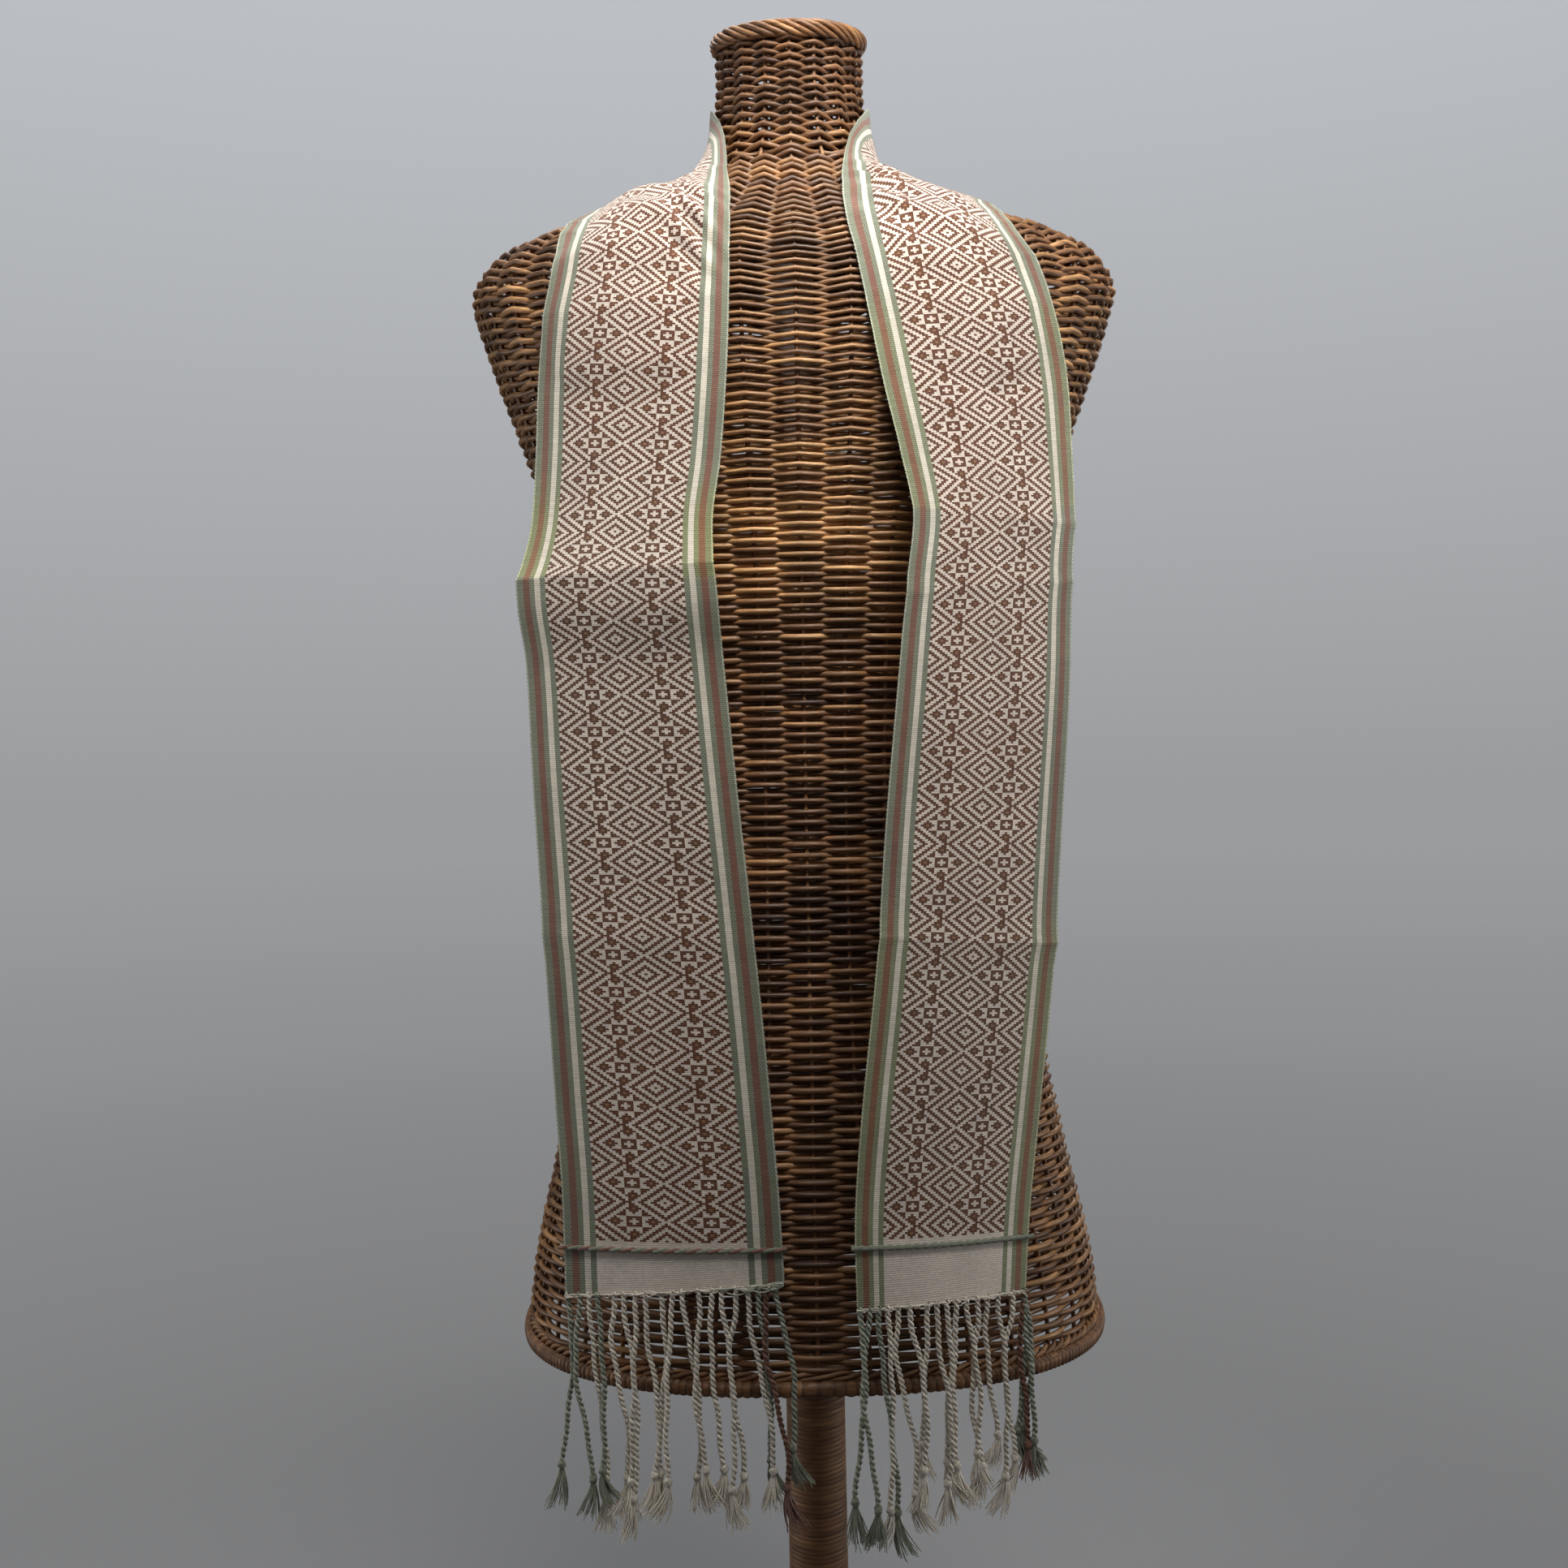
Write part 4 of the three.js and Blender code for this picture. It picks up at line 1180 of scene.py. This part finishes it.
def twined_row(end, material):
    """Two yarns twined across the cloth above its plain end, with short loose tails."""
    distance = from_the_end(end, TWINED_FROM_END[end])
    across = np.linspace(-0.02, 1.02, TWINE_STEPS)
    places = places_at(distance + np.array([-1.0, 0.0, 1.0]), across)
    grid = pushed_clear(scarf_points(places, across), CLOTH_CLEARANCE)
    normal = surface_normals(grid)[1]
    line = grid[1]
    side = unit(np.gradient(line, axis=0))
    up = np.cross(normal, side)
    swing = across * SCARF_WIDTH / TWINED_PITCH * 2 * np.pi
    names = ("rust", "green") if end == "left" else ("green", "green")
    parts = []
    for yarn, name in enumerate(names):
        angle = swing + yarn * np.pi
        lift = 0.75 + 0.8 * np.sign(np.cos(angle)) * np.abs(np.cos(angle)) ** 0.5
        centre = line + normal * lift[:, None] + up * (0.35 * np.sin(angle))[:, None]
        radius = TWINE_RADIUS * narrow_ends(1, TWINE_STEPS)
        parts.append(yarns(centre[None], normal[None], radius, 6, np.array(COLOURS[name]) * 0.8))
    return joined_object(f"twining_{end}", parts, material)


# Fringes

def end_line(end):
    """Points along the cloth's end from the first cord's side, and the distance to each."""
    along = np.full((1, 201), 0.0 if end == "left" else 1.0)
    across = np.linspace(0, 1, 201)
    line = pushed_clear(scarf_points(along, across), CLOTH_CLEARANCE)[0]
    if end == "right":
        line = line[::-1]
    return line, run_along(line)


def on_line(line, run, distance):
    """Points at distances along a line."""
    distance = np.clip(distance, 0, run[-1] - 0.8)
    return xyz(*(np.interp(distance, run, line[:, k]) for k in range(3)))


def fringe_roots(end, cords):
    """Where each cord leaves the cloth's end."""
    line, run = end_line(end)
    return on_line(line, run, np.array([cord[0] for cord in cords], dtype=float))


def frayed_edge(end, rng):
    """Loose fibres that curl along the cloth's cut end."""
    line, run = end_line(end)
    t = np.linspace(0, 1, 8)[None, :]
    parts = []
    for side, first, last, fibres, longest, name in FRAYS:
        if side != end:
            continue
        start = rng.uniform(first, last, (fibres, 1))
        length = rng.uniform(0.3, 1.0, (fibres, 1)) * longest
        heading = rng.choice((-1.0, 1.0), (fibres, 1))
        points = on_line(line, run, start + heading * length * t)
        bow = rng.uniform(-0.12, 0.32, (fibres, 1)) * length * np.sin(np.pi * t)
        stand = 0.5 + rng.uniform(0.0, 0.25, (fibres, 1)) * length * np.sin(np.pi * t)
        points = points - xyz(0.0, stand, bow)
        parts.append(yarns(points, np.array([0.0, -1.0, 0.0]), FRAY_RADIUS, 4, COLOURS[name]))
    return parts


def cord_line(root, cord, order, fall):
    """Centre of a cord at distances below its root."""
    _, reach, drop, _, _ = cord
    share = np.clip(fall / drop, 0, 1)
    ease = share * share * (3 - 2 * share)
    bend = CORD_BEND * np.sin(share * np.pi * (1.3 + 0.5 * math.sin(order * 1.9)) + order * 2.4)
    bend = bend - CORD_BEND * math.sin(order * 2.4)
    ripple = 0.45 * np.sin(fall * 0.21 + order * 1.7) * np.minimum(np.maximum(fall, 0) / 10, 1)
    x = root[0] + reach * ease + bend * np.minimum(share * 4, 1) * 0.8 + ripple
    y = root[1] + (-1 if order % 2 else 1) * CORD_SWAY * ease
    return xyz(x, y, root[2] - fall)


def twisted_cord(root, cord, order, rng):
    """Two plies twisted round each other."""
    drop = cord[2]
    fall = np.linspace(-1.0, drop, int(drop / TWIST_PITCH * 8))
    middle = cord_line(root, cord, order, fall)
    angle = 2 * np.pi * fall / TWIST_PITCH + rng.uniform(0, 6)
    plies = (COLOURS[cord[4]], COLOURS[SECOND_PLY[cord[4]]])
    parts = []
    for ply, colour in enumerate(plies):
        offset = way_out(angle + ply * np.pi)
        centre = (middle + offset * CORD_HELIX_RADIUS)[None]
        # The second ply is painted a fifth darker than its yarn, as painted shade that brings out the
        # twist; the small random change is the yarn's own
        shade = np.array(colour) * (1 - 0.2 * ply + rng.uniform(-0.1, 0.1))
        parts.append(yarns(centre, offset[None], PLY_RADIUS, 5, shade))
    return parts


def knot(root, cord, order):
    """A small overhand knot: a lump with a band wound across it."""
    centre = cord_line(root, cord, order, np.array([float(cord[2])]))[0]
    rows, sides = 9, 10
    height = np.linspace(-1, 1, rows)
    bulge = np.sqrt(np.maximum(1 - height ** 2, 0.02))
    angle = np.arange(sides) / sides * 2 * np.pi
    groove = 1 + 0.16 * np.sin(2 * angle[None, :] + 5 * height[:, None])
    radius = KNOT_RADIUS * bulge[:, None] * groove
    x = centre[0] + radius * np.cos(angle + order)
    y = centre[1] + radius * np.sin(angle + order)
    points = xyz(x, y, centre[2] - KNOT_HALF_HEIGHT * height[:, None]).reshape(-1, 3)
    faces = quads(rows, sides, closed_columns=True)
    return points, faces, np.tile(np.array(COLOURS[cord[4]]) * 0.9, (len(points), 1))


def tassel(root, cord, order, rng):
    """Loose yarn ends that spread below the knot."""
    _, _, drop, length, name = cord
    start = cord_line(root, cord, order, np.array([float(drop)]))[0]
    t = np.linspace(0, 1, 6)[None, :]
    angle = rng.uniform(0, 2 * np.pi, (TASSEL_HAIRS, 1))
    spread = TASSEL_SPREAD * np.sqrt(rng.uniform(0.02, 1.0, (TASSEL_HAIRS, 1)))
    reach = (length - 2.0) * rng.uniform(0.72, 1.0, (TASSEL_HAIRS, 1))
    lean = rng.uniform(-TASSEL_LEAN, TASSEL_LEAN)
    flare = 0.7 + (spread - 0.7) * t ** 1.1
    curl = 0.5 * np.sin(t * 5 + angle * 3)
    x = start[0] + flare * np.cos(angle) + lean * t ** 2 + curl * t
    y = start[1] + 0.8 * flare * np.sin(angle)
    z = start[2] - 1.5 - reach * t
    hair = HAIR_RADIUS * (1 - 0.5 * t) * np.ones((TASSEL_HAIRS, 1))
    points, faces = tubes(xyz(x, y, z), np.array([1.0, 0.0, 0.0]), hair, 4, closed=False)
    shade = np.array(COLOURS[name]) * (1 + 0.15 * rng.uniform(-1, 1, (len(points), 1)))
    return points, faces, shade


def fringe_piece(end, cords, material):
    """One end's frays, cords, knots and tassels."""
    rng = np.random.default_rng(31 if end == "left" else 37)
    parts = frayed_edge(end, rng)
    for order, (root, cord) in enumerate(zip(fringe_roots(end, cords), cords)):
        parts += twisted_cord(root, cord, order, rng)
        parts.append(knot(root, cord, order))
        parts.append(tassel(root, cord, order, rng))
    return joined_object(f"knotted_fringe_{end}", parts, material)


# Materials

class Look:
    """The nodes of a material or a world, with short ways to add and join them."""

    def __init__(self, tree):
        self.nodes = tree.nodes
        self.join = tree.links.new

    def new(self, kind, settings=None):
        """A node with some of its inputs set."""
        node = self.nodes.new("ShaderNode" + kind)
        for name, value in (settings or {}).items():
            node.inputs[name].default_value = value
        return node

    def math(self, operation, first, second=None):
        """A sum on numbers or sockets."""
        node = self.new("Math")
        node.operation = operation
        for socket, value in zip(node.inputs, (first, second)):
            if isinstance(value, (int, float)):
                socket.default_value = value
            elif value is not None:
                self.join(value, socket)
        return node.outputs[0]

    def place(self):
        """Places on the object in metres."""
        return self.new("TexCoord").outputs["Object"]

    def tint(self):
        """The colour stored with the mesh."""
        node = self.new("Attribute")
        node.attribute_name = "tint"
        return node

    def noise(self, vector, scale, detail=3.0):
        """Noise at places."""
        node = self.new("TexNoise", {"Scale": scale, "Detail": detail})
        self.join(vector, node.inputs["Vector"])
        return node.outputs["Fac"]

    def scaled(self, vector, scale):
        """A vector scaled along each axis."""
        node = self.new("Mapping", {"Scale": scale})
        self.join(vector, node.inputs["Vector"])
        return node.outputs["Vector"]

    def spread(self, value, low, high, to_low, to_high):
        """A value moved from one range to another and kept inside it."""
        ends = {"From Min": low, "From Max": high, "To Min": to_low, "To Max": to_high}
        node = self.new("MapRange", ends)
        self.join(value, node.inputs["Value"])
        return node.outputs["Result"]

    def shaded(self, colour, factor):
        """A colour times a grey factor."""
        node = self.new("VectorMath")
        node.operation = "SCALE"
        self.join(colour, node.inputs[0])
        self.join(factor, node.inputs["Scale"])
        return node.outputs[0]

    def ramp(self, value, stops):
        """Colours by a value from 0 to 1."""
        node = self.new("ValToRGB")
        elements = node.color_ramp.elements
        while len(elements) < len(stops):
            elements.new(0.5)
        for element, (place, colour) in zip(elements, stops):
            element.position = place
            element.color = (*colour, 1.0)
        self.join(value, node.inputs["Fac"])
        return node.outputs["Color"]

    def bump(self, bsdf, height, strength, distance):
        """Fine relief on the shader's surface."""
        node = self.new("Bump", {"Strength": strength, "Distance": distance})
        self.join(height, node.inputs["Height"])
        self.join(node.outputs["Normal"], bsdf.inputs["Normal"])

    def dimmed_for_light(self, socket):
        """Full strength where the camera looks, and the ambient share for everything else."""
        seen = self.new("LightPath").outputs["Is Camera Ray"]
        self.join(self.spread(seen, 0.0, 1.0, AMBIENT_SHARE, 1.0), socket)


def new_material(name, settings):
    """A material, its nodes and its shader with some of its inputs set."""
    material = bpy.data.materials.new(name)
    material.use_nodes = True
    look = Look(material.node_tree)
    bsdf = look.nodes["Principled BSDF"]
    for socket, value in settings.items():
        bsdf.inputs[socket].default_value = value
    return material, look, bsdf


def cane_material(name, streaks, roughness):
    """Stained rattan: streaks along the rods, darker patches and a satin gloss."""
    material, look, bsdf = new_material(name, {"Specular IOR Level": 0.5})
    place = look.place()
    streak = look.noise(look.scaled(place, streaks), 1.0, 4.0)
    patch = look.noise(place, PATCH_SCALE)
    factor = look.math("MULTIPLY", look.spread(streak, 0.3, 0.7, 0.62, 1.38),
                       look.spread(patch, 0.3, 0.7, 0.72, 1.32))
    look.join(look.shaded(look.tint().outputs["Color"], factor), bsdf.inputs["Base Color"])
    look.join(look.spread(streak, 0.3, 0.7, roughness + 0.12, roughness - 0.08), bsdf.inputs["Roughness"])
    look.bump(bsdf, streak, 0.45, 0.0004)
    return material


def wood_material():
    """Dark stained turned wood with growth rings and pores."""
    material, look, bsdf = new_material("stained_wood", {"Coat Weight": 0.25, "Coat Roughness": 0.2})
    place = look.place()
    stretched = look.scaled(place, (1.0, 9.0, 9.0))
    wave = look.new("TexWave", {"Scale": 5.0, "Distortion": 5.0, "Detail": 3.0})
    wave.bands_direction = "Y"
    look.join(stretched, wave.inputs["Vector"])
    pores = look.noise(look.scaled(place, PORE_SCALES), 1.0)
    grain = look.math("MULTIPLY", wave.outputs["Fac"], look.spread(pores, 0.35, 0.65, 0.7, 1.1))
    look.join(look.ramp(grain, WOOD_STOPS), bsdf.inputs["Base Color"])
    look.join(look.spread(pores, 0.3, 0.7, 0.42, 0.3), bsdf.inputs["Roughness"])
    look.bump(bsdf, pores, 0.2, 0.0003)
    return material


def thread_wave(look, coordinate, pitch):
    """A wave from 0 to 1 with a crest for each thread."""
    phase = look.math("MULTIPLY", coordinate, 2 * math.pi / pitch)
    return look.math("ADD", look.math("MULTIPLY", look.math("SINE", phase), 0.5), 0.5)


def cloth_material():
    """Cotton weave: ribs of weft, fine warp ends with painted shade between the threads, speckled green
    stripes and a soft sheen.
    """
    material, look, bsdf = new_material("pattern_weave", {
        "Roughness": 0.88,
        "Sheen Weight": 0.25,
        "Sheen Roughness": 0.5,
        "Specular IOR Level": 0.25,
    })
    uv = look.new("UVMap")
    uv.uv_map = "thread"
    split = look.new("SeparateXYZ")
    look.join(uv.outputs["UV"], split.inputs["Vector"])
    across, along = split.outputs["X"], split.outputs["Y"]
    place = look.place()
    tint = look.tint()
    wobble = look.math("MULTIPLY", look.noise(place, 160.0, 2.0), THREAD_WOBBLE)
    weft = thread_wave(look, look.math("ADD", along, wobble), WEFT_PITCH)
    warp = thread_wave(look, look.math("ADD", across, wobble), WARP_PITCH)
    height = look.math("ADD", look.math("MULTIPLY", weft, 0.7), look.math("MULTIPLY", warp, 0.35))
    fuzz = look.noise(place, FUZZ_SCALE, 2.0)
    slub = look.noise(place, SLUB_SCALE, 4.0)
    # The colour is painted darker where the threads lie low: painted shade in the grooves between threads.
    # The fuzz and slubs below are the yarn's own variation
    shade = look.spread(height, 0.0, 1.05, 0.66, 1.08)
    shade = look.math("MULTIPLY", shade, look.spread(fuzz, 0.3, 0.7, 0.86, 1.12))
    shade = look.math("MULTIPLY", shade, look.spread(slub, 0.3, 0.7, 0.92, 1.07))
    greys = {"Color1": (0.62, 0.62, 0.62, 1.0), "Color2": (1.32, 1.32, 1.32, 1.0)}
    checker = look.new("TexChecker", {"Scale": 1.0, **greys})
    look.join(look.scaled(uv.outputs["UV"], SPECKLES_PER_METRE), checker.inputs["Vector"])
    speckle = look.new("Mix")
    speckle.data_type = "RGBA"
    speckle.inputs[6].default_value = (1.0, 1.0, 1.0, 1.0)
    look.join(look.math("MULTIPLY", tint.outputs["Alpha"], 0.55), speckle.inputs[0])
    look.join(checker.outputs["Color"], speckle.inputs[7])
    product = look.new("VectorMath")
    product.operation = "MULTIPLY"
    look.join(tint.outputs["Color"], product.inputs[0])
    look.join(speckle.outputs[2], product.inputs[1])
    look.join(look.shaded(product.outputs[0], shade), bsdf.inputs["Base Color"])
    relief = look.math("ADD", height, look.math("MULTIPLY", fuzz, 0.25))
    look.bump(bsdf, relief, 0.8, 0.00022)
    return material


def yarn_material(name):
    """Matte twisted cotton with fine fibres."""
    material, look, bsdf = new_material(name, {"Roughness": 0.9, "Sheen Weight": 0.3})
    fibre = look.noise(look.place(), FIBRE_SCALE)
    factor = look.spread(fibre, 0.3, 0.7, 0.75, 1.15)
    look.join(look.shaded(look.tint().outputs["Color"], factor), bsdf.inputs["Base Color"])
    look.bump(bsdf, fibre, 0.5, 0.0002)
    return material


# Camera, light and floor

def set_camera():
    """A level camera with the photograph's place, roll and lens."""
    data = bpy.data.cameras.new("camera")
    data.lens = LENS_MM
    data.sensor_width = SENSOR_MM
    camera = bpy.data.objects.new("camera", data)
    camera.location = tuple(v * MM for v in CAMERA_PLACE)
    camera.rotation_euler = (math.radians(90), math.radians(CAMERA_ROLL_DEG), 0)
    bpy.context.scene.collection.objects.link(camera)
    bpy.context.scene.camera = camera


def area_light(name, place, target, size, power, colour, spread=180):
    """A rectangular light that faces its target and isn't seen itself."""
    data = bpy.data.lights.new(name, "AREA")
    data.shape = "RECTANGLE"
    data.size, data.size_y = size
    data.energy = power
    data.color = colour
    data.spread = math.radians(spread)
    light = bpy.data.objects.new(name, data)
    light.location = place
    direction = np.array(target) - np.array(place)
    flat = math.hypot(direction[0], direction[1])
    heading = math.atan2(direction[1], direction[0]) - math.pi / 2
    light.rotation_euler = (math.atan2(flat, -direction[2]), 0, heading)
    light.visible_camera = False
    bpy.context.scene.collection.objects.link(light)


def lay_floor():
    """A floor that fades into the backdrop's tone away from the foot."""
    mesh = bpy.data.meshes.new("floor")
    corners = [(x * FLOOR_HALF, y * FLOOR_HALF, 0) for x, y in ((-1, -1), (1, -1), (1, 1), (-1, 1))]
    mesh.from_pydata(corners, [], [(0, 1, 2, 3)])
    floor = bpy.data.objects.new("floor", mesh)
    settings = {"Base Color": (0.30, 0.30, 0.305, 1.0), "Roughness": 0.9}
    material, look, bsdf = new_material("pale_floor", settings)
    reach = look.new("VectorMath")
    reach.operation = "LENGTH"
    look.join(look.place(), reach.inputs[0])
    share = look.spread(reach.outputs["Value"], 0.0, FLOOR_REACH, 0.0, 1.0)
    glow = look.new("Emission")
    look.join(look.ramp(share, FLOOR_STOPS), glow.inputs["Color"])
    look.dimmed_for_light(glow.inputs["Strength"])
    mix = look.new("MixShader")
    look.join(look.spread(reach.outputs["Value"], 0.2, 0.9, 0.0, 1.0), mix.inputs["Fac"])
    look.join(bsdf.outputs["BSDF"], mix.inputs[1])
    look.join(glow.outputs["Emission"], mix.inputs[2])
    look.join(mix.outputs["Shader"], look.nodes["Material Output"].inputs["Surface"])
    mesh.materials.append(material)
    bpy.context.scene.collection.objects.link(floor)


def set_world():
    """A backdrop that brightens upwards and lights the object only a little."""
    world = bpy.data.worlds.new("studio")
    world.use_nodes = True
    look = Look(world.node_tree)
    background = look.nodes["Background"]
    direction = look.new("TexCoord").outputs["Generated"]
    split = look.new("SeparateXYZ")
    look.join(direction, split.inputs["Vector"])
    height = look.spread(split.outputs["Z"], -1.0, 1.0, 0.0, 1.0)
    look.join(look.ramp(height, SKY_STOPS), background.inputs["Color"])
    look.dimmed_for_light(background.inputs["Strength"])
    bpy.context.scene.world = world
    bpy.context.scene.view_settings.view_transform = "Standard"


def main():
    set_camera()
    cane = cane_material("stained_cane", ROD_STREAKS, 0.42)
    stake_cane = cane_material("stake_cane", STAKE_STREAKS, 0.5)
    wrap = cane_material("split_cane", WRAP_STREAKS, 0.5)
    shell = wicker_pieces(cane)
    shell[-1].data.materials[0] = stake_cane
    shell.append(neck_cap(cane))
    for piece in shell:
        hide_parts("torso")
    plait = neck_border(cane)
    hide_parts("neck_border")
    rim = rim_binding(wrap)
    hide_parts("rim_band")
    cross = rim_cross(wrap)
    pole = wound_pole(wrap)
    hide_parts("pole")
    foot = turned_foot(wood_material())
    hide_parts("foot")
    cloth = scarf_piece(cloth_material())
    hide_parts("scarf")
    yarn = yarn_material("fringe_cotton")
    trim = yarn_material("twined_cotton")
    extras = []
    for end, cords in (("left", LEFT_CORDS), ("right", RIGHT_CORDS)):
        twining = twined_row(end, trim)
        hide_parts(f"twined_row_{end}")
        fringe = fringe_piece(end, cords, yarn)
        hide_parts(f"fringe_{end}")
        extras += [twining, fringe]
    lay_floor()
    set_world()
    for name, row in LIGHTS.items():
        area_light(name, **row)


main()
